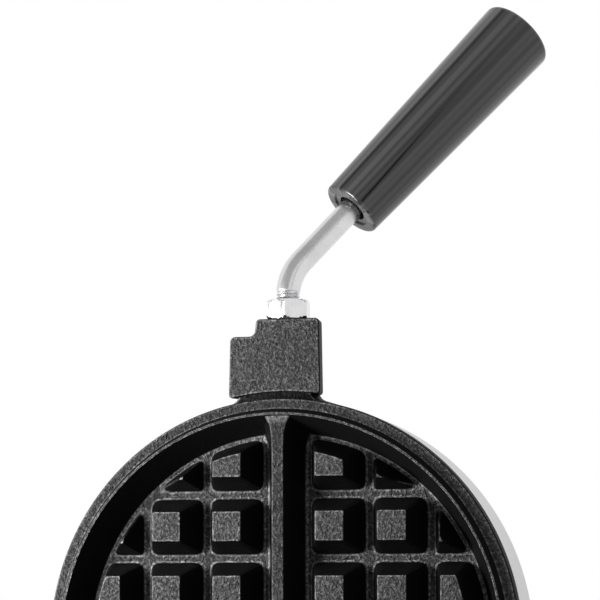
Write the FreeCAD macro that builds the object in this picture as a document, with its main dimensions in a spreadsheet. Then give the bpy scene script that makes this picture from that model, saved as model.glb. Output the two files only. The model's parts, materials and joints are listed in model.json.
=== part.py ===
import FreeCAD, Part
import math
import os

import Sketcher
from FreeCAD import Vector

# Countertop waffle maker with a lid that opens on a rear hinge.  All lengths are millimetres and all
# angles degrees.  The base stands on the floor plane (z = 0), the controls face -Y, the hinge is at +Y.
# Both grid plates are drawn in one plate frame: origin at the plate centre on the lip plane, +Z out of
# the baking face, +Y toward the hinge.

SIZES = {
    # grid plates
    "plate_radius": 100.3,
    "flange_thickness": 7.0,
    "flange_edge": 1.2,
    "lip_height": 3.7,
    "lip_foot_radius": 96.1,
    "lip_width": 0.8,
    "cavity_radius": 93.5,
    "cavity_depth": 16.7,
    "wall_foot_radius": 86.3,
    "floor_thickness": 8.0,
    "stud_pitch": 26.2,
    "stud_offset": 21.9,
    "stud_foot": 22.8,
    "stud_top": 12.0,
    "stud_height": 15.5,
    "stud_foot_corner": 3.0,
    "stud_top_corner": 0.8,
    "stud_field_radius": 84.7,
    "stud_field_top_radius": 79.7,
    "divider_foot": 15.3,
    "divider_top": 4.9,
    "divider_height": 15.5,
    "divider_reach": 94.0,
    "boss_circle": 82.0,
    "boss_radius": 6.0,
    "clamp_boss_radius": 9.0,
    # lug that carries the handle
    "lug_reach": 133.5,
    "shoulder_reach": 126.4,
    "lug_left": 23.7,
    "lug_right": 16.2,
    "lug_step": 12.4,
    "lug_groove": 3.0,
    "lug_drop": 8.7,
    "lug_depth": 17.0,
    "lug_corner": 2.0,
    "lug_front_edge": 1.2,
    "lug_back_edge": 4.0,
    "neck_left": 19.5,
    "neck_right": 15.0,
    "neck_drop": 14.7,
    # handle
    "rod_radius": 5.0,
    "rod_grip_depth": 34.0,
    "thread_depth": 22.0,
    "corner_rise": 18.4,
    "bend_radius": 21.5,
    "bend_angle": 44.5,
    "bend_turn": 38.9,
    "rod_exposed": 31.6,
    "lock_nut_flats": 17.0,
    "lock_nut_height": 8.2,
    "grip_start_radius": 13.1,
    "grip_end_radius": 16.4,
    "grip_length": 112.0,
    "grip_edge": 1.2,
    "grip_mouth_radius": 6.3,
    "grip_step_radius": 8.7,
    "grip_step_depth": 0.8,
    "insert_radius": 8.0,
    # covers and what lies behind each plate
    "cover_radius": 99.0,
    "cover_sheet": 1.0,
    "cover_gap": 1.0,
    "cover_depth": 29.3,
    "cover_edge": 6.0,
    "element_radius": 4.0,
    "element_ring": 60.0,
    "element_sweep": 320.0,
    "element_leg": 18.0,
    "element_pin": 7.0,
    "clamp_radius": 71.0,
    "clamp_thickness": 1.5,
    "clamp_screw_radius": 3.0,
    "clamp_screw_flats": 10.0,
    "pad_radius": 94.0,
    "pad_clearance": 0.2,
    "cover_screw_radius": 2.45,
    "cover_screw_reach": 12.0,
    # hinge
    "hinge_offset": 120.0,
    "parting_gap": 0.4,
    "open_angle": 100.0,
    "pin_radius": 5.0,
    "pin_clearance": 0.05,
    "knuckle_width": 41.0,
    "knuckle_radius": 12.0,
    "knuckle_back": 20.0,
    "ear_thickness": 12.0,
    "ear_gap": 0.5,
    "ear_radius": 13.0,
    "ear_depth": 12.0,
    "stop_radius": 4.0,
    "stop_reach": 28.54,
    "stop_lift": 21.8,
    "stop_boss": 7.5,
    "ring_thickness": 1.5,
    "ring_radius": 8.0,
    # base
    "base_width": 250.0,
    "base_depth": 320.0,
    "base_height": 100.0,
    "base_sheet": 1.5,
    "base_edge": 3.0,
    "front_lip": 30.0,
    "panel_tilt": 20.0,
    "foot_height": 18.0,
    "foot_radius": 15.0,
    "foot_inset": 26.0,
    "foot_nut_flats": 8.0,
    "pan_screw_head": 2.4,
    "pan_rim": 14.0,
    "pan_clearance": 0.2,
    "cup_lift": 8.0,
    "hinge_setback": 50.0,
    "tray_radius": 119.0,
    "tray_inner_radius": 102.0,
    "tray_height": 11.0,
    "tray_sheet": 1.2,
    "slot_length": 46.0,
    "slot_width": 3.2,
    "slot_pitch": 11.0,
    # controls
    "panel_margin": 12.0,
    "panel_height": 62.0,
    "panel_sheet": 1.5,
    "panel_corner": 6.0,
    "dial_inset": 41.0,
    "knob_skirt_radius": 22.0,
    "knob_skirt_height": 4.0,
    "knob_radius": 16.0,
    "knob_top_radius": 14.5,
    "knob_height": 19.0,
    "knob_gap": 0.6,
    "shaft_radius": 3.0,
    "bush_radius": 5.0,
    "switch_width": 15.0,
    "switch_height": 21.0,
    "switch_drop": 9.0,
    "rocker_half_tilt": 8.0,
    "rocker_pivot_radius": 1.4,
    "lamp_radius": 5.0,
    "lamp_spread": 16.0,
    "lamp_rise": 17.0,
    "gland_radius": 8.0,
    "gland_bore": 4.0,
}

DOC = FreeCAD.newDocument("waffle_maker")
SHEET = DOC.addObject("Spreadsheet::Sheet", "dims")
PIECES = []


class Size:
    """A number together with the sheet expression that gives it."""

    def __init__(self, text, value):
        self.text = text
        self.value = value

    def __add__(self, other):
        other = as_size(other)
        return Size("(%s + %s)" % (self.text, other.text), self.value + other.value)

    def __sub__(self, other):
        other = as_size(other)
        return Size("(%s - %s)" % (self.text, other.text), self.value - other.value)

    def __mul__(self, other):
        other = as_size(other)
        return Size("(%s * %s)" % (self.text, other.text), self.value * other.value)

    def __truediv__(self, other):
        other = as_size(other)
        return Size("(%s / %s)" % (self.text, other.text), self.value / other.value)

    def __neg__(self):
        return Size("(0 - %s)" % self.text, -self.value)

    def __radd__(self, other):
        return as_size(other) + self

    def __rsub__(self, other):
        return as_size(other) - self

    def __rmul__(self, other):
        return as_size(other) * self


def as_size(item):
    """Gives a plain number the same form as a size from the sheet."""
    if isinstance(item, Size):
        return item
    return Size("(%r)" % float(item), float(item))


def sine(angle):
    return Size("sin(%s)" % angle.text, math.sin(math.radians(angle.value)))


def cosine(angle):
    return Size("cos(%s)" % angle.text, math.cos(math.radians(angle.value)))


def tangent(angle):
    return Size("tan(%s)" % angle.text, math.tan(math.radians(angle.value)))


def fill_sheet():
    """Writes the driving sizes as plain numbers with aliases."""
    for row, (alias, value) in enumerate(SIZES.items(), start=1):
        SHEET.set("A%d" % row, alias)
        SHEET.set("B%d" % row, "%s" % value)
        SHEET.setAlias("B%d" % row, alias)
    DOC.recompute()


class Sheet:
    """Looks up a size of the sheet by its alias."""

    def __getattr__(self, alias):
        return Size("dims.%s" % alias, float(getattr(SHEET, alias)))


def place_text(base, axis=(0, 0, 1), angle=0):
    """Expression of a placement from a position, an axis and an angle."""
    x, y, z = [as_size(item).text for item in base]
    return "placement(vector(%s; %s; %s); rotation(vector(%g; %g; %g); %s))" % (
        x, y, z, axis[0], axis[1], axis[2], as_size(angle).text)


def bind(thing, **sizes):
    """Binds properties of an object to sizes."""
    for name, size in sizes.items():
        thing.setExpression(name, as_size(size).text)
    return thing


def put(thing, base, axis=(0, 0, 1), angle=0):
    """Binds the placement of an object."""
    thing.setExpression("Placement", place_text(base, axis, angle))
    return thing


def box(name, low, high):
    """Box between two corners."""
    made = DOC.addObject("Part::Box", name)
    spans = [as_size(b) - a for a, b in zip(low, high)]
    bind(made, Length=spans[0], Width=spans[1], Height=spans[2])
    return put(made, low)


def cylinder(name, radius, height, base=(0, 0, 0), axis=(0, 0, 1), angle=0):
    made = DOC.addObject("Part::Cylinder", name)
    bind(made, Radius=radius, Height=height)
    return put(made, base, axis, angle)


def cone(name, radius, top_radius, height, base=(0, 0, 0), axis=(0, 0, 1), angle=0):
    made = DOC.addObject("Part::Cone", name)
    bind(made, Radius1=radius, Radius2=top_radius, Height=height)
    return put(made, base, axis, angle)


def hexagon(name, flats, height, base=(0, 0, 0), axis=(0, 0, 1), angle=0):
    """Six-sided prism measured across its flats."""
    made = DOC.addObject("Part::Prism", name)
    made.Polygon = 6
    bind(made, Circumradius=flats / cosine(Size("30", 30)) / 2, Height=height)
    return put(made, base, axis, angle)


def fuse(name, shapes):
    made = DOC.addObject("Part::MultiFuse", name)
    made.Shapes = shapes
    return made


def group(name, shapes):
    """Several separate solids of one kind under one name."""
    made = DOC.addObject("Part::Compound", name)
    made.Links = shapes
    return made


def cut(name, base, tools):
    """Takes one tool, or several joined ones, away from a base."""
    made = DOC.addObject("Part::Cut", name)
    made.Base = base
    made.Tool = tools[0] if len(tools) == 1 else fuse(name + "_tools", tools)
    return made


def common(name, base, tool):
    made = DOC.addObject("Part::Common", name)
    made.Base = base
    made.Tool = tool
    return made


def origin_plane(body, role):
    return [item for item in body.Origin.OriginFeatures if item.Role == role][0]


def new_body(name):
    return DOC.addObject("PartDesign::Body", name)


def new_sketch(body, name, role):
    sketch = body.newObject("Sketcher::SketchObject", name)
    sketch.AttachmentSupport = (origin_plane(body, role), [""])
    sketch.MapMode = "FlatFace"
    return sketch


def hold(sketch, kind, curve, point, size):
    """Fixes one coordinate of a sketch point to a size."""
    size = as_size(size)
    if abs(size.value) < 1e-9:
        axis = -2 if kind == "DistanceX" else -1
        sketch.addConstraint(Sketcher.Constraint("PointOnObject", curve, point, axis))
        return
    index = sketch.addConstraint(Sketcher.Constraint(kind, -1, 1, curve, point, size.value))
    sketch.renameConstraint(index, "%s_%d" % (kind, index))
    sketch.setExpression("Constraints.%s_%d" % (kind, index), size.text)


def polygon(body, name, role, points):
    """Closed outline of straight lines, every corner bound to the sheet."""
    sketch = new_sketch(body, name, role)
    count = len(points)
    corners = [Vector(as_size(u).value, as_size(v).value, 0) for u, v in points]
    for index in range(count):
        sketch.addGeometry(Part.LineSegment(corners[index], corners[(index + 1) % count]), False)
    for index in range(count):
        sketch.addConstraint(Sketcher.Constraint("Coincident", index, 2, (index + 1) % count, 1))
    for index, (u, v) in enumerate(points):
        hold(sketch, "DistanceX", index, 1, u)
        hold(sketch, "DistanceY", index, 1, v)
    return sketch


def rounded_rectangle(body, name, role, low, high, radius):
    """Rectangle between two corners with four equal rounded corners."""
    sketch = new_sketch(body, name, role)
    x0, y0 = [as_size(item).value for item in low]
    x1, y1 = [as_size(item).value for item in high]
    r = as_size(radius).value
    runs = [((x0 + r, y0), (x1 - r, y0)), ((x1, y0 + r), (x1, y1 - r)),
            ((x1 - r, y1), (x0 + r, y1)), ((x0, y1 - r), (x0, y0 + r))]
    centres = [(x1 - r, y0 + r), (x1 - r, y1 - r), (x0 + r, y1 - r), (x0 + r, y0 + r)]
    for turn in range(4):
        start, end = runs[turn]
        sketch.addGeometry(Part.LineSegment(Vector(*start, 0), Vector(*end, 0)), False)
        circle = Part.Circle(Vector(*centres[turn], 0), Vector(0, 0, 1), r)
        first = math.radians(90 * turn - 90)
        sketch.addGeometry(Part.ArcOfCircle(circle, first, first + math.pi / 2), False)
    for turn in range(4):
        line = 2 * turn
        following = (line + 2) % 8
        sketch.addConstraint(Sketcher.Constraint("Tangent", line, 2, line + 1, 1))
        sketch.addConstraint(Sketcher.Constraint("Tangent", line + 1, 2, following, 1))
        sketch.addConstraint(Sketcher.Constraint("Vertical" if turn % 2 else "Horizontal", line))
    for arc in (3, 5, 7):
        sketch.addConstraint(Sketcher.Constraint("Equal", 1, arc))
    index = sketch.addConstraint(Sketcher.Constraint("Radius", 1, r))
    sketch.renameConstraint(index, "corner")
    sketch.setExpression("Constraints.corner", as_size(radius).text)
    hold(sketch, "DistanceY", 0, 1, low[1])
    hold(sketch, "DistanceX", 2, 1, high[0])
    hold(sketch, "DistanceY", 4, 1, high[1])
    hold(sketch, "DistanceX", 6, 1, low[0])
    return sketch


def turned(name, points):
    """Body turned round its Z axis from a half section of (radius, height) points."""
    body = new_body(name)
    sketch = polygon(body, name + "_section", "XZ_Plane", points)
    made = body.newObject("PartDesign::Revolution", name + "_turn")
    made.Profile = sketch
    made.ReferenceAxis = (sketch, ["V_Axis"])
    made.Angle = 360
    DOC.recompute()
    return body


def padded(name, sketch, body, length, symmetric=False, reverse=False):
    """Pads a sketch by a length."""
    made = body.newObject("PartDesign::Pad", name)
    made.Profile = sketch
    made.SideType = "Symmetric" if symmetric else "One side"
    made.Reversed = reverse
    bind(made, Length=length)
    DOC.recompute()
    return made


def rounded_edges(body, name, radius, wanted):
    """Fillets the edges of a body's tip that a test picks."""
    DOC.recompute()
    tip = body.Tip
    picked = ["Edge%d" % (index + 1) for index, edge in enumerate(tip.Shape.Edges) if wanted(edge)]
    made = body.newObject("PartDesign::Fillet", name)
    made.Base = (tip, picked)
    bind(made, Radius=radius)
    DOC.recompute()
    return made


def ring_edge(radius, height):
    """Test for a full circle about the Z axis at a radius and a height."""
    def test(edge):
        curve = edge.Curve
        if not isinstance(curve, Part.Circle):
            return False
        return abs(curve.Radius - radius.value) < 1e-4 and abs(curve.Center.z - height.value) < 1e-4
    return test


def round_about(name, make, radius, start=45):
    """Four copies round the Z axis, the first at a start angle."""
    made = []
    for turn in range(4):
        angle = math.radians(start + 90 * turn)
        made.append(make("%s_%d" % (name, turn + 1), radius * math.cos(angle), radius * math.sin(angle)))
    return made


def finish(thing, label, place=None):
    """Registers a piece under its label, with the placement of the frame that it was drawn in."""
    thing.Label = label
    if place:
        thing.setExpression("Placement", place)
    PIECES.append(thing)
    return thing


fill_sheet()
S = Sheet()

FLANGE_FACE = -S.lip_height
FLANGE_BACK = -(S.lip_height + S.flange_thickness)
FLOOR = -S.cavity_depth
CASTING_BACK = -(S.cavity_depth + S.floor_thickness)
COVER_BACK = FLANGE_BACK - S.cover_depth
COVER_INSIDE = COVER_BACK + S.cover_sheet
BODY_RADIUS = S.cover_radius - S.cover_sheet - S.cover_gap
ELEMENT_HEIGHT = CASTING_BACK - S.element_radius
CLAMP_FACE = CASTING_BACK - 2 * S.element_radius
CLAMP_BACK = CLAMP_FACE - S.clamp_thickness

BASE_TOP = S.foot_height + S.base_height
HINGE_Y = S.base_depth / 2 - S.hinge_setback
PLATE_Y = HINGE_Y - S.hinge_offset
HINGE_Z = BASE_TOP + S.cup_lift - COVER_BACK + S.parting_gap / 2
KNUCKLE_HALF = S.knuckle_width / 2
EAR_IN = KNUCKLE_HALF + S.ear_gap
EAR_OUT = EAR_IN + S.ear_thickness

LOWER = place_text((0, PLATE_Y, HINGE_Z - S.parting_gap / 2))
UPPER = " * ".join([
    place_text((0, HINGE_Y, HINGE_Z), (1, 0, 0), -S.open_angle),
    place_text((0, -S.hinge_offset, S.parting_gap / 2), (0, 1, 0), 180),
])
HANDLE = " * ".join([
    UPPER,
    place_text((0, -S.lug_reach, FLOOR), (0, 1, 0), 180 - S.bend_turn),
    place_text((0, 0, 0), (1, 0, 0), 90),
])
BEND_START = S.corner_rise - S.bend_radius * tangent(S.bend_angle / 2)
BEND_END_X = S.bend_radius * (1 - cosine(S.bend_angle))
BEND_END_Z = BEND_START + S.bend_radius * sine(S.bend_angle)
GRIP = " * ".join([
    HANDLE,
    place_text((BEND_END_X + S.rod_exposed * sine(S.bend_angle), 0,
                BEND_END_Z + S.rod_exposed * cosine(S.bend_angle)), (0, 1, 0), S.bend_angle),
])
PANEL_RISE = S.base_height - S.front_lip
PANEL_WIDTH = S.base_width - 2 * S.panel_margin
DIAL_SPREAD = PANEL_WIDTH / 2 - S.dial_inset
PANEL_RUN = PANEL_RISE * tangent(S.panel_tilt)
PANEL = place_text((0, PANEL_RUN / 2 - S.base_depth / 2, BASE_TOP - PANEL_RISE / 2),
                   (1, 0, 0), 90 - S.panel_tilt)


def make_grid():
    """Casting that both plates share: dish, lip, flange, studs, cross dividers and rear bosses."""
    dish = turned("dish", [
        (0, CASTING_BACK), (BODY_RADIUS, CASTING_BACK), (BODY_RADIUS, FLANGE_BACK),
        (S.plate_radius, FLANGE_BACK), (S.plate_radius, FLANGE_FACE), (S.lip_foot_radius, FLANGE_FACE),
        (S.cavity_radius + S.lip_width, 0), (S.cavity_radius, 0), (S.wall_foot_radius, FLOOR), (0, FLOOR)])
    rounded_edges(dish, "flange_rounding", S.flange_edge, ring_edge(S.plate_radius, FLANGE_FACE))

    field = new_body("stud_field")
    field.AllowCompound = True
    levels = []
    for name, width, corner, height in (("stud_foot_outline", S.stud_foot, S.stud_foot_corner, FLOOR),
                                        ("stud_top_outline", S.stud_top, S.stud_top_corner,
                                         FLOOR + S.stud_height)):
        near = S.stud_offset - width / 2
        far = S.stud_offset + width / 2
        level = rounded_rectangle(field, name, "XY_Plane", (near, near), (far, far), corner)
        level.setExpression("AttachmentOffset.Base.z", height.text)
        levels.append(level)
    DOC.recompute()
    stud = field.newObject("PartDesign::AdditiveLoft", "stud")
    stud.Profile = levels[0]
    stud.Sections = [levels[1]]
    stud.Ruled = True
    DOC.recompute()
    pattern = field.newObject("PartDesign::MultiTransform", "stud_pattern")
    pattern.Originals = [stud]
    steps = []
    for name, axis in (("stud_columns", "H_Axis"), ("stud_rows", "V_Axis")):
        step = field.newObject("PartDesign::LinearPattern", name)
        step.Direction = (levels[0], [axis])
        step.Occurrences = 3
        bind(step, Length=2 * S.stud_pitch)
        steps.append(step)
    for name, role in (("stud_left_half", "YZ_Plane"), ("stud_front_half", "XZ_Plane")):
        mirror = field.newObject("PartDesign::Mirrored", name)
        mirror.MirrorPlane = (origin_plane(field, role), [""])
        steps.append(mirror)
    pattern.Transformations = steps
    field.Tip = pattern
    limit = cone("stud_limit", S.stud_field_radius, S.stud_field_top_radius, S.stud_height, (0, 0, FLOOR))
    studs = common("studs", field, limit)

    dividers = []
    for name, turn in (("divider_along", 0), ("divider_across", 90)):
        wedge = DOC.addObject("Part::Wedge", name)
        bind(wedge, Xmin=-S.divider_foot / 2, Xmax=S.divider_foot / 2, X2min=-S.divider_top / 2,
             X2max=S.divider_top / 2, Ymin=0, Ymax=S.divider_height, Zmin=-S.divider_reach,
             Zmax=S.divider_reach, Z2min=-S.divider_reach, Z2max=S.divider_reach)
        wedge.setExpression("Placement", " * ".join([
            place_text((0, 0, FLOOR), (0, 0, 1), turn), place_text((0, 0, 0), (1, 0, 0), 90)]))
        dividers.append(wedge)

    def boss(name, x, y):
        return cylinder(name, S.boss_radius, CASTING_BACK - COVER_INSIDE + 1, (x, y, COVER_INSIDE))

    def boss_hole(name, x, y):
        return cylinder(name, S.cover_screw_radius + S.pin_clearance, S.cover_screw_reach + 1,
                        (x, y, COVER_INSIDE))

    bosses = round_about("cover_boss", boss, S.boss_circle)
    centre = cylinder("clamp_boss", S.clamp_boss_radius, CASTING_BACK - CLAMP_FACE + 1, (0, 0, CLAMP_FACE))
    holes = round_about("cover_boss_hole", boss_hole, S.boss_circle)
    holes.append(cylinder("clamp_hole", S.clamp_screw_radius + S.pin_clearance, 12, (0, 0, CLAMP_FACE)))
    solid = fuse("grid_solid", [dish, studs] + dividers + bosses + [centre])
    return cut("grid", solid, holes)


def make_lug():
    """Stepped lug at the front of the upper plate, with its neck and the threaded hole of the handle."""
    body = new_body("lug_block")
    sketch = polygon(body, "lug_outline", "XY_Plane", [
        (S.lug_left, -S.plate_radius + 4), (S.lug_left, -S.shoulder_reach),
        (S.lug_step, -S.shoulder_reach), (S.lug_step, -S.lug_reach),
        (-S.lug_right, -S.lug_reach), (-S.lug_right, -S.plate_radius + 4)])
    sketch.setExpression("AttachmentOffset.Base.z", (-S.lug_drop).text)
    padded("lug_pad", sketch, body, S.lug_depth, reverse=True)
    front = -S.lug_drop.value
    back = front - S.lug_depth.value
    inner = -S.plate_radius.value + 4

    def upright(edge):
        ends = [vertex.Point for vertex in edge.Vertexes]
        return abs(ends[0].z - ends[1].z) > 1 and ends[0].y < inner - 1

    def at_height(height):
        def test(edge):
            zs = [vertex.Point.z for vertex in edge.Vertexes]
            ys = [vertex.Point.y for vertex in edge.Vertexes]
            return max(abs(z - height) for z in zs) < 1e-4 and min(ys) < inner - 1
        return test

    rounded_edges(body, "lug_corner_rounding", S.lug_corner, upright)
    rounded_edges(body, "lug_back_rounding", S.lug_back_edge, at_height(back))
    rounded_edges(body, "lug_front_rounding", S.lug_front_edge, at_height(front))
    clear = cylinder("lug_clear", S.plate_radius + S.lug_groove, S.lug_depth + 20,
                     (0, 0, -S.lug_drop - S.lug_depth - 10))
    block = cut("lug_trimmed", body, [clear])
    neck = box("lug_neck", (-S.neck_right, -S.plate_radius - S.lug_groove - 4, CASTING_BACK),
               (S.neck_left, 8 - S.plate_radius, -S.neck_drop))
    hole = cylinder("lug_hole", S.rod_radius + S.pin_clearance, S.thread_depth + 1.5, (0, -S.lug_reach, FLOOR),
                    (1, 0, 0), -90)
    return fuse("lug", [block, neck]), hole


def dish_clear(name):
    """Room of the dish, which the roots of the hinge arms stay out of."""
    return cylinder(name, S.cavity_radius + S.lip_width, S.flange_thickness + 2, (0, 0, FLANGE_BACK - 1))


def make_knuckle():
    """Arm and barrel at the rear of the upper plate."""
    rise = S.parting_gap / 2
    body = new_body("knuckle_arm")
    reach = S.hinge_offset
    radius = S.knuckle_radius
    sketch = polygon(body, "knuckle_outline", "YZ_Plane", [
        (reach - 34, FLANGE_FACE - 0.2), (reach, FLANGE_FACE - 0.2), (reach + radius, rise),
        (reach + radius, rise - 10), (reach + 2, rise - S.knuckle_back), (reach - 19.5, rise - S.knuckle_back),
        (reach - 19.5, FLANGE_BACK), (reach - 34, FLANGE_BACK)])
    padded("knuckle_pad", sketch, body, S.knuckle_width, symmetric=True)
    arm = cut("knuckle_trimmed", body, [dish_clear("knuckle_clear")])
    barrel = cylinder("knuckle_barrel", radius, S.knuckle_width, (-KNUCKLE_HALF, reach, rise), (0, 1, 0), 90)
    bore = cylinder("knuckle_bore", S.pin_radius + S.pin_clearance, S.knuckle_width + 2,
                    (-KNUCKLE_HALF - 1, reach, rise), (0, 1, 0), 90)
    return fuse("knuckle", [arm, barrel]), bore


def make_ears():
    """Pair of ears at the rear of the lower plate, each with a hinge bore and a stop-pin bore."""
    rise = S.parting_gap / 2
    reach = S.hinge_offset
    stop_y = reach + S.stop_reach * cosine(S.stop_lift)
    stop_z = rise + S.stop_reach * sine(S.stop_lift)
    solids = []
    bores = []
    for side, start in (("left", -EAR_OUT), ("right", EAR_IN)):
        body = new_body("ear_web_" + side)
        sketch = polygon(body, "ear_outline_" + side, "YZ_Plane", [
            (reach - 34, FLANGE_FACE - 0.2), (reach, FLANGE_FACE - 0.2), (reach, rise - S.ear_depth),
            (reach - 19.5, rise - S.ear_depth - 4), (reach - 19.5, FLANGE_BACK), (reach - 34, FLANGE_BACK)])
        sketch.setExpression("AttachmentOffset.Base.z", start.text)
        padded("ear_pad_" + side, sketch, body, S.ear_thickness)
        web = cut("ear_trimmed_" + side, body, [dish_clear("ear_clear_" + side)])
        arm = box("ear_arm_" + side, (0, 0, 0), (S.ear_thickness, S.stop_reach, 2 * S.stop_boss))
        arm.setExpression("Placement", " * ".join([
            place_text((start, reach, rise), (1, 0, 0), S.stop_lift),
            place_text((0, 0, -S.stop_boss))]))
        barrel = cylinder("ear_barrel_" + side, S.ear_radius, S.ear_thickness, (start, reach, rise),
                          (0, 1, 0), 90)
        boss = cylinder("ear_boss_" + side, S.stop_boss, S.ear_thickness, (start, stop_y, stop_z),
                        (0, 1, 0), 90)
        solids += [web, arm, barrel, boss]
        bores.append(cylinder("ear_bore_" + side, S.pin_radius + S.pin_clearance, S.ear_thickness + 2,
                              (start - 1, reach, rise), (0, 1, 0), 90))
        bores.append(cylinder("stop_bore_" + side, S.stop_radius + S.pin_clearance, S.ear_thickness + 2,
                              (start - 1, stop_y, stop_z), (0, 1, 0), 90))
    return solids, bores, stop_y, stop_z


def make_plates():
    """Upper and lower grid plates, hinge pin, retaining rings and lid stop."""
    grid = make_grid()
    lug, lug_hole = make_lug()
    knuckle, knuckle_bore = make_knuckle()
    ears, ear_bores, stop_y, stop_z = make_ears()
    upper = fuse("upper_solid", [grid, lug, knuckle])
    finish(cut("upper_plate", upper, [lug_hole, knuckle_bore]), "upper_grid_plate", UPPER)
    lower = fuse("lower_solid", [grid] + ears)
    finish(cut("lower_plate", lower, ear_bores), "lower_grid_plate", LOWER)

    rise = S.parting_gap / 2
    overhang = S.ring_thickness + 2
    pin = cylinder("pin_bar", S.pin_radius, 2 * EAR_OUT + 2 * overhang,
                   (-EAR_OUT - overhang, S.hinge_offset, rise), (0, 1, 0), 90)
    grooves = []
    rings = []
    for side, start in (("left", -EAR_OUT - S.ring_thickness - 0.1), ("right", EAR_OUT + 0.1)):
        place = (start, S.hinge_offset, rise)
        groove = cylinder("groove_" + side, S.pin_radius + 1, S.ring_thickness, place, (0, 1, 0), 90)
        core = cylinder("groove_core_" + side, S.pin_radius - 0.6, S.ring_thickness, place, (0, 1, 0), 90)
        grooves.append(cut("groove_ring_" + side, groove, [core]))
        disc = cylinder("ring_disc_" + side, S.ring_radius, S.ring_thickness, place, (0, 1, 0), 90)
        eye = cylinder("ring_eye_" + side, S.pin_radius - 0.55, S.ring_thickness, place, (0, 1, 0), 90)
        gap = box("ring_gap_" + side, (start, S.hinge_offset - 2, rise - S.ring_radius),
                  (start + S.ring_thickness, S.hinge_offset + 2, rise))
        rings.append(cut("ring_" + side, disc, [eye, gap]))
    finish(cut("hinge_bar", pin, grooves), "hinge_pin", LOWER)
    finish(group("hinge_rings", rings), "hinge_retaining_rings", LOWER)
    finish(cylinder("stop_bar", S.stop_radius, 2 * EAR_OUT, (-EAR_OUT, stop_y, stop_z), (0, 1, 0), 90),
           "lid_stop_pin", LOWER + " * " + place_text((-EAR_OUT, stop_y, stop_z), (0, 1, 0), 90))


def make_half(side, place, notch):
    """Element, clamp, pad and cover behind one plate; the notch lets the lug or the arms through."""
    ring = DOC.addObject("Part::Torus", side + "_element_ring")
    bind(ring, Radius1=S.element_ring, Radius2=S.element_radius, Angle3=S.element_sweep)
    put(ring, (0, 0, ELEMENT_HEIGHT), (0, 0, 1), 270 - S.element_sweep / 2)
    parts = [ring]
    for hand, angle in (("a", 90 - (360 - S.element_sweep) / 2), ("b", 90 + (360 - S.element_sweep) / 2)):
        x = S.element_ring * cosine(angle)
        y = S.element_ring * sine(angle)
        corner = DOC.addObject("Part::Sphere", "%s_element_corner_%s" % (side, hand))
        bind(corner, Radius=S.element_radius)
        put(corner, (x, y, ELEMENT_HEIGHT))
        leg = cylinder("%s_element_leg_%s" % (side, hand), S.element_radius, S.element_leg,
                       (x, y, ELEMENT_HEIGHT), (1, 0, 0), -90)
        pin = cylinder("%s_element_pin_%s" % (side, hand), S.element_radius / 3, S.element_leg + S.element_pin,
                       (x, y, ELEMENT_HEIGHT), (1, 0, 0), -90)
        parts += [corner, leg, pin]
    finish(fuse(side + "_element", parts), side + "_heating_element", place)

    disc = cylinder(side + "_clamp_disc", S.clamp_radius, S.clamp_thickness, (0, 0, CLAMP_BACK))
    eye = cylinder(side + "_clamp_eye", S.clamp_screw_radius + S.pin_clearance, S.clamp_thickness,
                   (0, 0, CLAMP_BACK))
    slot = box(side + "_clamp_slot", (-S.element_ring / 2, S.element_ring * 0.8, CLAMP_BACK),
               (S.element_ring / 2, S.clamp_radius, CLAMP_FACE))
    finish(cut(side + "_clamp", disc, [eye, slot]), side + "_element_clamp", place)

    head = hexagon(side + "_clamp_head", S.clamp_screw_flats, 3.6, (0, 0, CLAMP_BACK - 3.6))
    shank = cylinder(side + "_clamp_shank", S.clamp_screw_radius, 12.5, (0, 0, CLAMP_BACK - 1))
    finish(fuse(side + "_clamp_bolt", [head, shank]), side + "_clamp_screw", place)

    depth = CLAMP_BACK - COVER_INSIDE - 2 * S.pad_clearance
    felt = cylinder(side + "_felt", S.pad_radius, depth, (0, 0, COVER_INSIDE + S.pad_clearance))

    def felt_hole(name, x, y):
        return cylinder(name, S.boss_radius + 0.6, depth, (x, y, COVER_INSIDE + S.pad_clearance))

    openings = round_about(side + "_felt_hole", felt_hole, S.boss_circle)
    openings.append(cylinder(side + "_felt_eye", 7, depth, (0, 0, COVER_INSIDE + S.pad_clearance)))
    openings.append(cylinder(side + "_felt_lead_hole", S.gland_bore + 4, depth,
                             (0, S.boss_circle - 12, COVER_INSIDE + S.pad_clearance)))
    finish(cut(side + "_felt_disc", felt, openings), side + "_insulation_pad", place)

    shell = turned(side + "_shell", [
        (0, COVER_BACK), (S.cover_radius, COVER_BACK), (S.cover_radius, FLANGE_BACK),
        (S.cover_radius - S.cover_sheet, FLANGE_BACK), (S.cover_radius - S.cover_sheet, COVER_INSIDE),
        (0, COVER_INSIDE)])
    rounded_edges(shell, side + "_shell_outside", S.cover_edge, ring_edge(S.cover_radius, COVER_BACK))
    rounded_edges(shell, side + "_shell_inside", S.cover_edge - S.cover_sheet,
                  ring_edge(S.cover_radius - S.cover_sheet, COVER_INSIDE))

    def cover_hole(name, x, y):
        return cylinder(name, S.cover_screw_radius + 0.2, 3, (x, y, COVER_BACK - 1))

    tools = round_about(side + "_cover_hole", cover_hole, S.boss_circle) + notch
    tools.append(cylinder(side + "_lead_hole", S.gland_bore + 2.1, 3, (0, S.boss_circle - 12, COVER_BACK - 1)))
    finish(cut(side + "_cup", shell, tools), side + "_cover", place)


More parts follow.
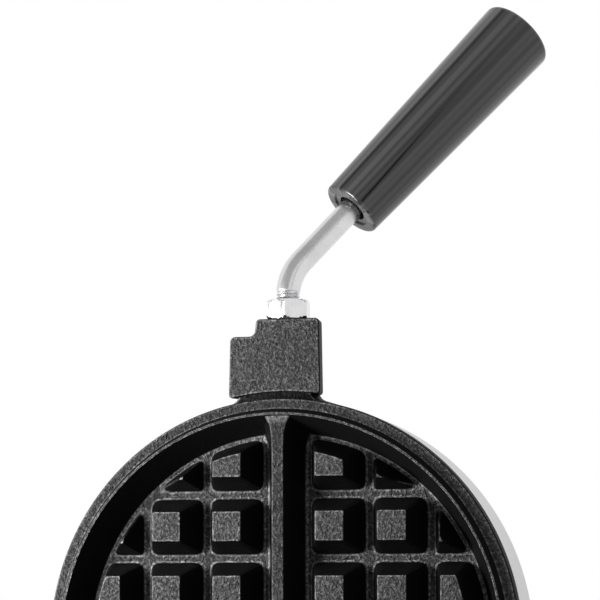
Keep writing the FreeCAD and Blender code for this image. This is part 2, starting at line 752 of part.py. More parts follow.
def make_lid():
    """Pieces of the lid other than its plate."""
    lug_notch = box("lug_notch", (-S.neck_right - 0.5, -S.cover_radius - 2, CASTING_BACK - 0.5),
                    (S.neck_left + 0.5, -S.cover_radius + 12, FLANGE_BACK + 1))
    make_half("upper", UPPER, [lug_notch])

    def screw(name, x, y):
        head = cylinder(name + "_head", 2 * S.cover_screw_radius, 3, (x, y, COVER_BACK - 3))
        shank = cylinder(name + "_shank", S.cover_screw_radius, S.cover_screw_reach + 3, (x, y, COVER_BACK - 2))
        drive = box(name + "_drive", (x - 0.6, y - 6, COVER_BACK - 4), (x + 0.6, y + 6, COVER_BACK - 1.8))
        return cut(name, fuse(name + "_blank", [head, shank]), [drive])

    finish(group("cover_screw_set", round_about("cover_screw", screw, S.boss_circle)),
           "upper_cover_screws", UPPER)
    make_grommet("lid_lead_grommet", UPPER, (0, S.boss_circle - 12, COVER_BACK), S.cover_sheet)

    lower_rod = cylinder("rod_lower", S.rod_radius, S.thread_depth + BEND_START, (0, 0, -S.thread_depth))
    bend = DOC.addObject("Part::Torus", "rod_bend")
    bind(bend, Radius1=S.bend_radius, Radius2=S.rod_radius, Angle3=S.bend_angle)
    put(bend, (S.bend_radius, 0, BEND_START), (0, 1, 1), 180)
    upper_rod = cylinder("rod_upper", S.rod_radius, S.rod_exposed + S.rod_grip_depth,
                         (BEND_END_X, 0, BEND_END_Z), (0, 1, 0), S.bend_angle)
    finish(fuse("rod", [lower_rod, bend, upper_rod]), "handle_rod", HANDLE)

    nut = hexagon("nut_hexagon", S.lock_nut_flats, S.lock_nut_height)
    bevel = cone("nut_bevel", S.lock_nut_flats * 0.69, S.lock_nut_flats * 0.485, S.lock_nut_height)
    shaped = common("nut_shape", nut, fuse("nut_envelope", [
        cylinder("nut_round", S.lock_nut_flats * 0.6, S.lock_nut_height * 0.86), bevel]))
    nut_hole = cylinder("nut_hole", S.rod_radius + S.pin_clearance, S.lock_nut_height)
    finish(cut("nut", shaped, [nut_hole]), "handle_lock_nut", HANDLE)

    depth = S.rod_grip_depth + 2
    grip = turned("grip", [
        (S.rod_radius + 0.6, depth), (S.insert_radius, depth), (S.insert_radius, S.grip_step_depth + 6),
        (S.grip_mouth_radius, S.grip_step_depth + 6), (S.grip_mouth_radius, S.grip_step_depth),
        (S.grip_step_radius, S.grip_step_depth), (S.grip_step_radius, 0), (S.grip_start_radius, 0),
        (S.grip_end_radius, S.grip_length), (0, S.grip_length), (0, depth + 4), (S.rod_radius + 0.6, depth + 4)])
    rounded_edges(grip, "grip_end_rounding", S.grip_edge, ring_edge(S.grip_end_radius, S.grip_length))
    rounded_edges(grip, "grip_start_rounding", S.grip_edge * 0.7, ring_edge(S.grip_start_radius, Size("0", 0.0)))
    finish(grip, "handle_grip", GRIP)
    insert_start = S.grip_step_depth + 6
    insert = cylinder("insert_bar", S.insert_radius - 0.02, depth - insert_start - 0.02, (0, 0, insert_start + 0.01))
    insert_hole = cylinder("insert_hole", S.rod_radius + S.pin_clearance, depth, (0, 0, 1))
    finish(cut("insert", insert, [insert_hole]), "grip_insert", GRIP)


def make_grommet(label, place, centre, sheet):
    """Rubber bush in a sheet hole; the sheet's outside is at the centre's height, its inside above it."""
    x, y, z = centre
    neck = cylinder(label + "_neck", S.gland_bore + 2, sheet, (x, y, z))
    outer = cylinder(label + "_outer", S.gland_bore + 4, 2, (x, y, z - 2))
    inner = cylinder(label + "_inner", S.gland_bore + 3.5, 1.5, (x, y, z + sheet))
    bore = cylinder(label + "_bore", S.gland_bore, 10, (x, y, z - 5))
    finish(cut(label + "_bush", fuse(label + "_blank", [neck, outer, inner]), [bore]), label, place)


def make_lower_half():
    """Pieces that hang on the lower plate, its spacers and the bolts that hold it to the base."""
    make_half("lower", LOWER, [])

    def spacer(name, x, y):
        post = cylinder(name + "_post", S.boss_radius + 1, S.cup_lift, (x, y, COVER_BACK - S.cup_lift))
        hole = cylinder(name + "_hole", S.cover_screw_radius + 0.2, S.cup_lift, (x, y, COVER_BACK - S.cup_lift))
        return cut(name, post, [hole])

    def bolt(name, x, y):
        seat = COVER_BACK - S.cup_lift - S.base_sheet
        head = hexagon(name + "_head", S.cover_screw_radius * 3.26, 3.5, (x, y, seat - 3.5))
        shank = cylinder(name + "_shank", S.cover_screw_radius,
                         S.cover_screw_reach + S.base_sheet + S.cup_lift + S.cover_sheet + 1, (x, y, seat - 1))
        return fuse(name, [head, shank])

    finish(group("spacer_set", round_about("spacer", spacer, S.boss_circle)), "cup_spacers", LOWER)
    finish(group("bolt_set", round_about("cup_bolt", bolt, S.boss_circle)), "cup_bolts", LOWER)
    make_grommet("cup_lead_grommet", LOWER, (0, S.boss_circle - 12, COVER_BACK), S.cover_sheet)

    top = BASE_TOP
    sheet = S.tray_sheet
    tray = turned("tray", [
        (S.tray_inner_radius, top), (S.tray_radius, top), (S.tray_radius, top + S.tray_height),
        (S.tray_radius - sheet, top + S.tray_height), (S.tray_radius - sheet, top + sheet),
        (S.tray_inner_radius + sheet, top + sheet), (S.tray_inner_radius + sheet, top + S.tray_height),
        (S.tray_inner_radius, top + S.tray_height)])
    finish(tray, "drip_tray", place_text((0, PLATE_Y, 0)))


def make_housing():
    """Folded base housing, bottom pan, feet and their screws."""
    front = -S.base_depth / 2
    back = S.base_depth / 2
    low = S.foot_height
    knee = BASE_TOP - PANEL_RISE
    sheet = S.base_sheet
    outer = new_body("housing_outside")
    sketch = polygon(outer, "housing_outline", "YZ_Plane", [
        (front, low), (back, low), (back, BASE_TOP), (front + PANEL_RUN, BASE_TOP), (front, knee)])
    padded("housing_pad", sketch, outer, S.base_width, symmetric=True)

    def folded(edge):
        ends = [vertex.Point for vertex in edge.Vertexes]
        return max(end.z for end in ends) > low.value + 1

    rounded_edges(outer, "housing_rounding", S.base_edge, folded)
    inner = new_body("housing_inside")
    inner_knee = knee - sheet * tangent(S.panel_tilt / 2)
    inner_top = front + sheet / cosine(S.panel_tilt) + (BASE_TOP - sheet - knee) * tangent(S.panel_tilt)
    sketch = polygon(inner, "housing_inner_outline", "YZ_Plane", [
        (front + sheet, low - 5), (back - sheet, low - 5), (back - sheet, BASE_TOP - sheet),
        (inner_top, BASE_TOP - sheet), (front + sheet, inner_knee)])
    padded("housing_inner_pad", sketch, inner, S.base_width - 2 * sheet, symmetric=True)

    tools = [inner]
    for side, x in (("left", -S.base_width / 2), ("right", S.base_width / 2)):
        for row in range(5):
            z = low + 34 + S.slot_pitch * row
            tools.append(box("vent_%s_%d" % (side, row + 1), (x - 5, S.base_depth / 8, z),
                             (x + 5, S.base_depth / 8 + S.slot_length, z + S.slot_width)))
        for end, y in (("front", front + 60), ("back", back - 60)):
            tools.append(cylinder("pan_hole_%s_%s" % (side, end), 2.2, 10, (x - 5, y, low + 8), (0, 1, 0), 90))
    tools.append(cylinder("gland_hole", S.gland_radius + 0.1, 10, (-S.base_width / 4, back + 5, low + 30),
                          (1, 0, 0), 90))

    def bolt_hole(name, x, y):
        return cylinder(name, S.cover_screw_radius + 0.2, 6, (x, PLATE_Y + y, BASE_TOP - 4))

    tools += round_about("top_hole", bolt_hole, S.boss_circle)
    tools.append(cylinder("top_lead_hole", S.gland_bore + 2.1, 6,
                          (0, PLATE_Y + S.boss_circle - 12, BASE_TOP - 4)))
    tools.append(cylinder("back_lead_hole", S.gland_bore + 2.1, 10, (S.base_width / 4, back + 5, low + 30),
                          (1, 0, 0), 90))
    for tool in panel_cutouts("housing", -2 * sheet, 4 * sheet):
        tools.append(tool)
    finish(cut("housing", outer, tools), "base_housing")
    top_grommet = (0, S.boss_circle - 12, COVER_BACK - S.cup_lift - sheet)
    make_grommet("base_lead_grommet", LOWER, top_grommet, sheet)
    make_grommet("lid_lead_inlet", place_text((S.base_width / 4, back, low + 30), (1, 0, 0), 90),
                 (0, 0, 0), sheet)

    reach_x = S.base_width / 2 - sheet - S.pan_clearance
    reach_y = S.base_depth / 2 - sheet - S.pan_clearance
    plate = box("pan_plate", (-reach_x, -reach_y, low), (reach_x, reach_y, low + sheet))
    rims = []
    holes = []
    for side, sign in (("left", -1), ("right", 1)):
        x = reach_x * sign
        inside = x - sheet * sign
        pair = (x, inside) if sign < 0 else (inside, x)
        rims.append(box("pan_rim_" + side, (pair[0], -reach_y, low), (pair[1], reach_y, low + S.pan_rim)))
        for end, y in (("front", front + 60), ("back", back - 60)):
            holes.append(cylinder("pan_rim_hole_%s_%s" % (side, end), 2.05, 10, (x - 5, y, low + 8), (0, 1, 0), 90))
    for row in range(5):
        x = S.slot_pitch * (row - 2)
        holes.append(box("pan_slot_%d" % (row + 1), (x, -S.slot_length / 2, low - 1),
                         (x + S.slot_width, S.slot_length / 2, low + 5)))
    spots = [(sx * (S.base_width / 2 - S.foot_inset), sy * (S.base_depth / 2 - S.foot_inset), nx, ny)
             for nx, sx in (("left", -1), ("right", 1)) for ny, sy in (("front", -1), ("back", 1))]
    for x, y, nx, ny in spots:
        holes.append(cylinder("foot_hole_%s_%s" % (ny, nx), 2.6, 6, (x, y, low - 2)))
    finish(cut("pan", fuse("pan_folded", [plate] + rims), holes), "bottom_pan")

    screws = []
    for x, y, nx, ny in spots:
        name = "%s_%s" % (ny, nx)
        block = cone("foot_block_" + name, S.foot_radius - 3, S.foot_radius, low, (x, y, 0))
        well = cylinder("foot_well_" + name, 6, low - 6, (x, y, -1))
        hole = cylinder("foot_eye_" + name, 2.6, low + 2, (x, y, -1))
        finish(cut("foot_shape_" + name, block, [well, hole]), "foot_" + name)
        head = cylinder("foot_screw_head_" + name, 4.5, 3, (x, y, low - 10))
        shank = cylinder("foot_screw_shank_" + name, 2.5, 16, (x, y, low - 8))
        nut = hexagon("foot_screw_nut_" + name, S.foot_nut_flats, 4, (x, y, low + sheet))
        screws.append(fuse("foot_screw_" + name, [head, shank, nut]))
    finish(group("foot_screw_set", screws), "foot_screws")

    side_screws = []
    side_face = S.base_width / 2
    for side, head_start, shank_start in (("left", -side_face - S.pan_screw_head, -side_face - 1),
                                          ("right", side_face, side_face - 9)):
        for end, y in (("front", front + 60), ("back", back - 60)):
            name = "side_screw_%s_%s" % (side, end)
            head = cylinder(name + "_head", 4, S.pan_screw_head, (head_start, y, low + 8), (0, 1, 0), 90)
            shank = cylinder(name + "_shank", 2, 10, (shank_start, y, low + 8), (0, 1, 0), 90)
            side_screws.append(fuse(name, [head, shank]))
    finish(group("side_screw_set", side_screws), "pan_screws")

    body = cylinder("gland_thread", S.gland_radius, 18, (0, 0, -10))
    flange = hexagon("gland_flange", S.gland_radius * 2.6, 5)
    dome = cone("gland_dome", S.gland_radius * 1.2, S.gland_radius * 0.85, 12, (0, 0, 5))
    bore = cylinder("gland_inside", S.gland_bore, 60, (0, 0, -30))
    rear = place_text((-S.base_width / 4, back, low + 30), (1, 0, 0), -90)
    finish(cut("gland", fuse("gland_solid", [body, flange, dome]), [bore]), "cable_gland", rear)
    lock = hexagon("gland_lock_hexagon", S.gland_radius * 2.6, 4, (0, 0, -sheet - 4))
    eye = cylinder("gland_lock_eye", S.gland_radius + S.pin_clearance, 10, (0, 0, -sheet - 6))
    finish(cut("gland_lock", lock, [eye]), "gland_lock_nut", rear)

    block = box("terminal_block_body", (-30, 40, low + sheet), (30, 64, low + sheet + 18))
    ways = [cylinder("terminal_way_%d" % (way + 1), 3, 10, (-24 + 12 * way, 52, low + sheet + 12))
            for way in range(5)]
    finish(cut("terminal_ceramic", block, ways), "terminal_block")
    finish(group("terminal_set", [
        cylinder("terminal_screw_%d" % (way + 1), 2.95, 4, (-24 + 12 * way, 52, low + sheet + 12))
        for way in range(5)]), "terminal_screws")


def panel_cutouts(owner, start, depth):
    """Holes that the housing and the panel share, in world place: two dials, the switch and two lamps."""
    tools = []
    for hand, x in (("left", -DIAL_SPREAD), ("right", DIAL_SPREAD)):
        tools.append(cylinder("%s_dial_hole_%s" % (owner, hand), S.bush_radius + 0.1, depth, (x, 0, start)))
    half_x = S.switch_width / 2
    half_y = S.switch_height / 2
    tools.append(box(owner + "_switch_hole", (-half_x, -S.switch_drop - half_y, start),
                     (half_x, half_y - S.switch_drop, start + depth)))
    for hand, x in (("left", -S.lamp_spread), ("right", S.lamp_spread)):
        tools.append(cylinder("%s_lamp_hole_%s" % (owner, hand), S.lamp_radius, depth, (x, S.lamp_rise, start)))
    for tool in tools:
        own = dict(tool.ExpressionEngine)["Placement"]
        tool.setExpression("Placement", PANEL + " * " + own)
    return tools


def make_dial(name, x):
    """One control: body behind the panel, turning shaft and knob."""
    face = S.panel_sheet
    behind = -S.base_sheet
    place = PANEL + " * " + place_text((x, 0, 0))
    case = box(name + "_case", (-20, -17, behind - 26), (20, 17, behind))
    bush = cylinder(name + "_bush", S.bush_radius, face - behind + 0.4, (0, 0, behind))
    way = cylinder(name + "_way", S.shaft_radius + S.pin_clearance, 20, (0, 0, behind - 14))
    finish(cut(name + "_unit", fuse(name + "_unit_solid", [case, bush]), [way]), name + "_body", place)
    start = face + S.knob_gap
    finish(cylinder(name + "_stem", S.shaft_radius, start + 12 - behind + 13, (0, 0, behind - 13)),
           name + "_shaft", place + " * " + place_text((0, 0, behind - 13)))
    knob = turned(name + "_knob_turned", [
        (S.shaft_radius + S.pin_clearance, start), (S.knob_skirt_radius, start),
        (S.knob_skirt_radius - 1, start + S.knob_skirt_height), (S.knob_radius, start + S.knob_skirt_height),
        (S.knob_top_radius, start + S.knob_height), (0, start + S.knob_height), (0, start + 12.1),
        (S.shaft_radius + S.pin_clearance, start + 12.1)])
    pointer = box(name + "_pointer", (-1.2, 4, start + S.knob_height - 1),
                  (1.2, S.knob_top_radius, start + S.knob_height + 1))
    finish(fuse(name + "_knob_solid", [knob, pointer]), name + "_knob", place)


def make_controls():
    """Front panel with its two dials, rocker switch and two lamps."""
    face = S.panel_sheet
    half_x = PANEL_WIDTH / 2
    half_y = S.panel_height / 2
    sheet = new_body("panel_sheet_body")
    sketch = rounded_rectangle(sheet, "panel_outline", "XY_Plane", (-half_x, -half_y), (half_x, half_y),
                               S.panel_corner)
    padded("panel_pad", sketch, sheet, face)
    sheet.setExpression("Placement", PANEL)
    finish(cut("panel", sheet, panel_cutouts("panel", -S.panel_sheet, 4 * S.panel_sheet)), "control_panel")
    make_dial("timer", -DIAL_SPREAD)
    make_dial("thermostat", DIAL_SPREAD)

    place = PANEL + " * " + place_text((0, -S.switch_drop, 0))
    wide = S.switch_width / 2
    tall = S.switch_height / 2
    bezel = box("switch_bezel", (-wide - 2, -tall - 2, face), (wide + 2, tall + 2, face + 2))
    case = box("switch_case", (0.1 - wide, 0.1 - tall, -22), (wide - 0.1, tall - 0.1, face + 1))
    well = box("switch_well", (2 - wide, 1.6 - tall, -6), (wide - 2, tall - 1.6, face + 3))
    seat = cylinder("switch_pivot_seat", S.rocker_pivot_radius + S.pin_clearance, S.switch_width - 1.4,
                    (0.7 - wide, 0, face), (0, 1, 0), 90)
    finish(cut("switch_unit", fuse("switch_solid", [bezel, case]), [well, seat]), "switch_body", place)
    rocker = new_body("rocker")
    sketch = polygon(rocker, "rocker_outline", "YZ_Plane", [
        (3.2 - tall, 0.5), (0, -3), (tall - 3.2, 0.5), (tall - 3.2, 4.4), (0, 3.4), (3.2 - tall, 4.4)])
    padded("rocker_pad", sketch, rocker, S.switch_width - 4.4, symmetric=True)
    pivot = cylinder("rocker_pivot", S.rocker_pivot_radius, S.switch_width - 2, (1 - wide, 0, 0),
                     (0, 1, 0), 90)
    finish(fuse("rocker_solid", [rocker, pivot]), "power_rocker",
           place + " * " + place_text((0, 0, face), (1, 0, 0), -S.rocker_half_tilt))

    for name, x in (("power", -S.lamp_spread), ("ready", S.lamp_spread)):
        spot = PANEL + " * " + place_text((x, S.lamp_rise, 0))
        lens = cone(name + "_lens_dome", S.lamp_radius + 1.5, S.lamp_radius - 1, 3.5, (0, 0, face))
        stem = cylinder(name + "_lens_stem", S.lamp_radius - 0.1, face + S.base_sheet, (0, 0, -S.base_sheet))
        finish(fuse(name + "_lens", [lens, stem]), name + "_lamp_lens", spot)
        finish(cylinder(name + "_lamp_case", S.lamp_radius + 1.2, 16, (0, 0, -S.base_sheet - 16)),
               name + "_lamp_body", spot + " * " + place_text((0, 0, -S.base_sheet - 16)))


def write_pieces():
    """Checks every piece and writes it to its own file, with the origin under the middle of the whole."""
    DOC.recompute()
    for thing in DOC.Objects:
        if "Invalid" in thing.State or "Error" in thing.State:
            raise RuntimeError("%s: %s" % (thing.Label, thing.State))
    whole = FreeCAD.BoundBox()
    for thing in PIECES:
        if thing.Shape.isNull() or not thing.Shape.isValid():
            raise RuntimeError(thing.Label + ": shape isn't valid")
        whole.add(thing.Shape.optimalBoundingBox(False, False))
    os.makedirs("parts", exist_ok=True)
    for thing in PIECES:
        shape = thing.Shape.copy()
        shape.translate(Vector(-whole.Center.x, -whole.Center.y, -whole.ZMin))
        shape.exportStep("parts/%s.step" % thing.Label)


make_plates()
make_lid()
make_lower_half()
make_housing()
make_controls()
write_pieces()
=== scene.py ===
import json
import math

import bmesh
import bpy
from mathutils import Matrix, Vector


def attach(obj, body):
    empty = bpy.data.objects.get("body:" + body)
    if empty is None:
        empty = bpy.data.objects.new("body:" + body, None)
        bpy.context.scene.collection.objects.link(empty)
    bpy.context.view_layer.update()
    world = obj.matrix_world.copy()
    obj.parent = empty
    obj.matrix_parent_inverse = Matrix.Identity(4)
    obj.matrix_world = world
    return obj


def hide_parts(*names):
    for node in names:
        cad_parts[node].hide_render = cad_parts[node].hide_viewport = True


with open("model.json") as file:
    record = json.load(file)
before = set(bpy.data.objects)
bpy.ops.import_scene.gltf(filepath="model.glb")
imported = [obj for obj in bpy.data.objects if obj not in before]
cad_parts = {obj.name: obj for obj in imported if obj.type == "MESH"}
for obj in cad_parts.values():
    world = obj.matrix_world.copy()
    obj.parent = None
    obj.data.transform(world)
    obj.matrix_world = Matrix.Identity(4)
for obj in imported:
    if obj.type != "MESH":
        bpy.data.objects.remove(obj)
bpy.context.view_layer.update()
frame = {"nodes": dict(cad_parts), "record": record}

bl_info = {
    "name": "Waffle Maker",
    "version": (1, 0, 0),
    "blender": (4, 5, 0),
    "location": "View3D > Sidebar > Waffle",
    "description": "Builds a countertop waffle maker over its packed solids",
    "category": "Object",
}

NODES = frame["nodes"]
JOINTS = {joint["name"]: joint for joint in frame["record"]["behaviour"]["joints"]}
HINGE = Vector(JOINTS["lid_hinge"]["pos_m"])
FRAME_PIXELS = 600.0
SENSOR_WIDTH = 36.0
MERGE_DISTANCE = 1e-6

# Hinge arms: how far before the axis the root steps down, and the rounding of their edges
HINGE_HEEL = 0.0195
HINGE_EDGE = 0.0008

# Rings of a stud and of the cross: share of the height, and how far the side stands out there
STUD_LEVELS = ((-0.02, 0.0011), (0.008, 0.0007), (0.03, 0.00035), (0.07, 0.0001), (0.14, 0.0), (0.5, 0.0),
               (0.86, 0.0), (0.945, -0.00002), (0.975, -0.00012), (0.992, -0.00034), (1.0, -0.0007))
DIVIDER_LEVELS = ((-0.02, 0.0016), (0.01, 0.0009), (0.05, 0.0003), (0.12, 0.0), (0.5, 0.0), (0.90, 0.0),
                  (0.965, -0.00012), (0.99, -0.00040), (1.0, -0.0009))

# Painted reflection streaks of the grip: waves round it, and where each starts
GRIP_WAVES = ((5, 0.4), (9, 2.1), (16, 1.0), (29, 4.2))

# Lamps: name, place from the plate, size, watts, and whether reflections show it
LAMPS = (("key", (-0.21, -0.19, 0.03), 0.12, 2.1, True),
         ("top", (0.1, -0.2, 1.9), 1.4, 16.0, False),
         ("fill", (0.6, -1.3, 0.8), 0.9, 1.6, False))


def length(name, default, about):
    """Property for a length in metres."""
    return bpy.props.FloatProperty(name=name, description=about, default=default, unit="LENGTH", precision=5)


def angle(name, default, about):
    """Property for an angle, given in degrees."""
    return bpy.props.FloatProperty(name=name, description=about, default=math.radians(default),
                                   subtype="ANGLE")


def pixels(name, default, about):
    """Property for a place or length in the photograph's frame."""
    return bpy.props.FloatProperty(name=name, description=about, default=default, subtype="PIXEL")


def colour(name, default, about):
    """Property for a linear colour."""
    return bpy.props.FloatVectorProperty(name=name, description=about, default=default, size=3,
                                         subtype="COLOR", min=0.0, max=1.0)


class PlateSizes(bpy.types.PropertyGroup):
    """Sizes of the two grid plates, in the plate's own frame."""
    plate_radius: length("Plate radius", 0.1003, "Outside of the flange")
    flange_thickness: length("Flange thickness", 0.007, "Thickness of the flange")
    lip_height: length("Lip height", 0.0037, "Lip above the flange face")
    lip_foot_radius: length("Lip foot radius", 0.0961, "Where the lip meets the flange")
    lip_width: length("Lip width", 0.0008, "Flat on top of the lip")
    cavity_radius: length("Cavity radius", 0.0935, "Mouth of the dish")
    cavity_depth: length("Cavity depth", 0.0167, "Lip to dish floor")
    wall_foot_radius: length("Wall foot radius", 0.0863, "Foot of the dish wall")
    floor_thickness: length("Floor thickness", 0.008, "Metal behind the dish floor")
    body_radius: length("Body radius", 0.097, "Casting inside the cover")
    stud_pitch: length("Stud pitch", 0.0262, "Centre to centre of studs")
    stud_offset: length("Stud offset", 0.0219, "First stud from the middle line")
    stud_foot: length("Stud foot", 0.0228, "Width of a stud at its foot")
    stud_top: length("Stud top", 0.012, "Width of a stud at its top")
    stud_height: length("Stud height", 0.0155, "Height of a stud")
    field_radius: length("Field radius", 0.0847, "Circle that cuts the stud feet")
    field_top_radius: length("Field top radius", 0.0797, "Circle that cuts the stud tops")
    divider_foot: length("Divider foot", 0.0153, "Width of the cross at its foot")
    divider_top: length("Divider top", 0.0049, "Width of the cross at its top")
    divider_height: length("Divider height", 0.0155, "Height of the cross")
    hinge_offset: length("Hinge offset", 0.12, "Plate centre to hinge axis")
    parting_gap: length("Parting gap", 0.0004, "Gap between the closed lips")
    open_angle: angle("Open angle", 100.0, "Lid angle at rest")


class LugSizes(bpy.types.PropertyGroup):
    """Sizes of the lug, the hinge knuckle and the hinge ears."""
    reach: length("Reach", 0.1335, "Plate centre to lug top")
    shoulder: length("Shoulder", 0.1264, "Plate centre to lug shoulder")
    left: length("Left", 0.0237, "Rod to the wide side")
    right: length("Right", 0.0162, "Rod to the narrow side")
    step: length("Step", 0.0124, "Rod to the inside of the step")
    groove: length("Groove", 0.0030, "Gap between lug and flange")
    drop: length("Drop", 0.0087, "Lip plane to lug face")
    depth: length("Depth", 0.017, "Thickness of the lug")
    neck_left: length("Neck left", 0.0195, "Rod to the neck's wide side")
    neck_right: length("Neck right", 0.015, "Rod to the neck's narrow side")
    neck_drop: length("Neck drop", 0.0107, "Lip plane to neck face")
    knuckle_width: length("Knuckle width", 0.041, "Width of the lid's hinge arm")
    knuckle_radius: length("Knuckle radius", 0.012, "Barrel of the hinge arm")
    knuckle_back: length("Knuckle back", 0.02, "Axis to the arm's back")
    ear_thickness: length("Ear thickness", 0.012, "Thickness of each hinge ear")
    ear_gap: length("Ear gap", 0.0005, "Gap between ear and knuckle")
    ear_radius: length("Ear radius", 0.013, "Barrel of a hinge ear")
    ear_depth: length("Ear depth", 0.012, "Axis to the ear's underside")
    stop_reach: length("Stop reach", 0.02854, "Hinge axis to stop pin")
    stop_lift: angle("Stop lift", 21.8, "Stop pin above the hinge axis")
    stop_boss: length("Stop boss", 0.0075, "Boss round the stop pin")


class HandleSizes(bpy.types.PropertyGroup):
    """Sizes of the rod, the lock nut and the grip."""
    rod_radius: length("Rod radius", 0.005, "Radius of the rod")
    corner_rise: length("Corner rise", 0.0184, "Lug top to the corner of the bend")
    bend_radius: length("Bend radius", 0.0215, "Radius of the bend")
    bend_angle: angle("Bend angle", 44.5, "Angle of the bend")
    bend_turn: angle("Bend turn", 38.9, "Turn of the bend toward the back")
    rod_exposed: length("Rod exposed", 0.0316, "Straight rod between bend and grip")
    thread_pitch: length("Thread pitch", 0.0015, "Pitch of the rod's thread")
    thread_end: length("Thread end", 0.0122, "Lug top to the thread's end")
    nut_flats: length("Nut flats", 0.017, "Nut across its flats")
    nut_height: length("Nut height", 0.0082, "Height of the nut")
    grip_start: length("Grip start radius", 0.0131, "Grip radius at the rod")
    grip_end: length("Grip end radius", 0.0164, "Grip radius at its far end")
    grip_length: length("Grip length", 0.112, "Length of the grip")
    step_radius: length("Step radius", 0.0087, "Recess in the grip's near face")
    mouth_radius: length("Mouth radius", 0.0063, "Mouth round the rod")


class ControlSizes(bpy.types.PropertyGroup):
    """Sizes of the controls on the front panel."""
    dial_spread: length("Dial spread", 0.072, "Panel middle to each dial")
    knob_radius: length("Knob radius", 0.016, "Grip of a knob")
    knob_top: length("Knob top radius", 0.0145, "Top of a knob")
    knob_skirt: length("Knob skirt", 0.022, "Skirt of a knob")
    knob_skirt_height: length("Skirt height", 0.004, "Height of the skirt")
    knob_height: length("Knob height", 0.019, "Height of a knob")
    knob_start: length("Knob start", 0.0021, "Panel plane to the knob's underside")
    panel_face: length("Panel face", 0.0015, "Panel plane to the panel's face")
    tick_radius: length("Tick radius", 0.0248, "Ring of the dial marks")


class Finishes(bpy.types.PropertyGroup):
    """Colours of the finishes."""
    cast_flat: colour("Cast face", (0.074, 0.074, 0.075), "Grainy faces of the castings")
    # Near-black painted shade on the walls of the castings
    cast_wall: colour("Cast wall", (0.005, 0.005, 0.005), "Smooth walls of the castings")
    stainless: colour("Stainless", (0.58, 0.58, 0.59), "Brushed sheet")
    bright: colour("Bright steel", (0.70, 0.70, 0.71), "Rod and fasteners")
    plated: colour("Plated steel", (0.74, 0.74, 0.75), "Nut")
    bakelite: colour("Bakelite", (0.004, 0.004, 0.004), "Grip")
    # Colour of the grip's painted reflection streaks
    bakelite_worn: colour("Worn bakelite", (0.075, 0.075, 0.076), "Polishing lines of the grip")
    black: colour("Black plastic", (0.012, 0.012, 0.013), "Knobs and gland")
    rubber: colour("Rubber", (0.011, 0.011, 0.011), "Feet and bushes")
    panel: colour("Panel", (0.014, 0.014, 0.016), "Control panel")
    marks: colour("Marks", (0.78, 0.78, 0.76), "Dial marks and numbers")
    brass: colour("Brass", (0.55, 0.38, 0.14), "Insert and terminals")
    fibre: colour("Fibre", (0.72, 0.69, 0.62), "Insulation")
    ceramic: colour("Ceramic", (0.80, 0.78, 0.72), "Terminal block")
    red: colour("Red", (0.45, 0.012, 0.010), "Rocker and power lens")
    green: colour("Green", (0.02, 0.36, 0.05), "Ready lens")


class StageSizes(bpy.types.PropertyGroup):
    """Camera and light of the stage."""
    camera_yaw: angle("Camera yaw", 17.06, "Turn of the view round the plate's upright")
    camera_pitch: angle("Camera pitch", -5.36, "Tilt of the view")
    camera_roll: angle("Camera roll", 0.12, "Roll of the view")
    camera_distance: length("Camera distance", 1.25, "Camera to plate")
    focal_pixels: pixels("Focal length", 3046.0, "Focal length in a 600 pixel frame")
    plate_pixel_x: pixels("Plate x", 288.6, "Plate centre across the frame")
    plate_pixel_y: pixels("Plate y", 644.0, "Plate centre down the frame")


def plate():
    """Sizes of the grid plates."""
    return bpy.context.scene.waffle_plate


def lug():
    """Sizes of the lug and the hinge."""
    return bpy.context.scene.waffle_lug


def handle():
    """Sizes of the handle."""
    return bpy.context.scene.waffle_handle


def controls():
    """Sizes of the controls."""
    return bpy.context.scene.waffle_controls


def finishes():
    """Colours of the finishes."""
    return bpy.context.scene.waffle_finishes


def shifted(x, y, z):
    """Frame moved by a step."""
    return Matrix.Translation((x, y, z))


def turned(axis, turn):
    """Frame turned about one of its axes."""
    return Matrix.Rotation(turn, 4, axis)


def lower_frame():
    """Plate frame of the lower half in the row frame."""
    return shifted(0, HINGE.y - plate().hinge_offset, HINGE.z - plate().parting_gap / 2)


def upper_frame():
    """Plate frame of the open lid in the row frame."""
    return (shifted(*HINGE) @ turned("X", -plate().open_angle)
            @ shifted(0, -plate().hinge_offset, plate().parting_gap / 2) @ turned("Y", math.pi))


def handle_frame():
    """Frame of the handle: +Z along the rod out of the lug, +X toward the bend."""
    return (upper_frame() @ shifted(0, -lug().reach, -plate().cavity_depth)
            @ turned("Y", math.pi - handle().bend_turn) @ turned("X", math.pi / 2))


def panel_frame():
    """Frame of the control panel: +Z out of the panel, +Y up along it."""
    thermostat = JOINTS["thermostat_turn"]
    outward = -Vector(thermostat["axis"]).normalized()
    across = Vector((1, 0, 0))
    up = outward.cross(across)
    middle = Vector(thermostat["pos_m"]) - across * controls().dial_spread
    return Matrix.Translation(middle) @ Matrix((across, up, outward)).transposed().to_4x4()


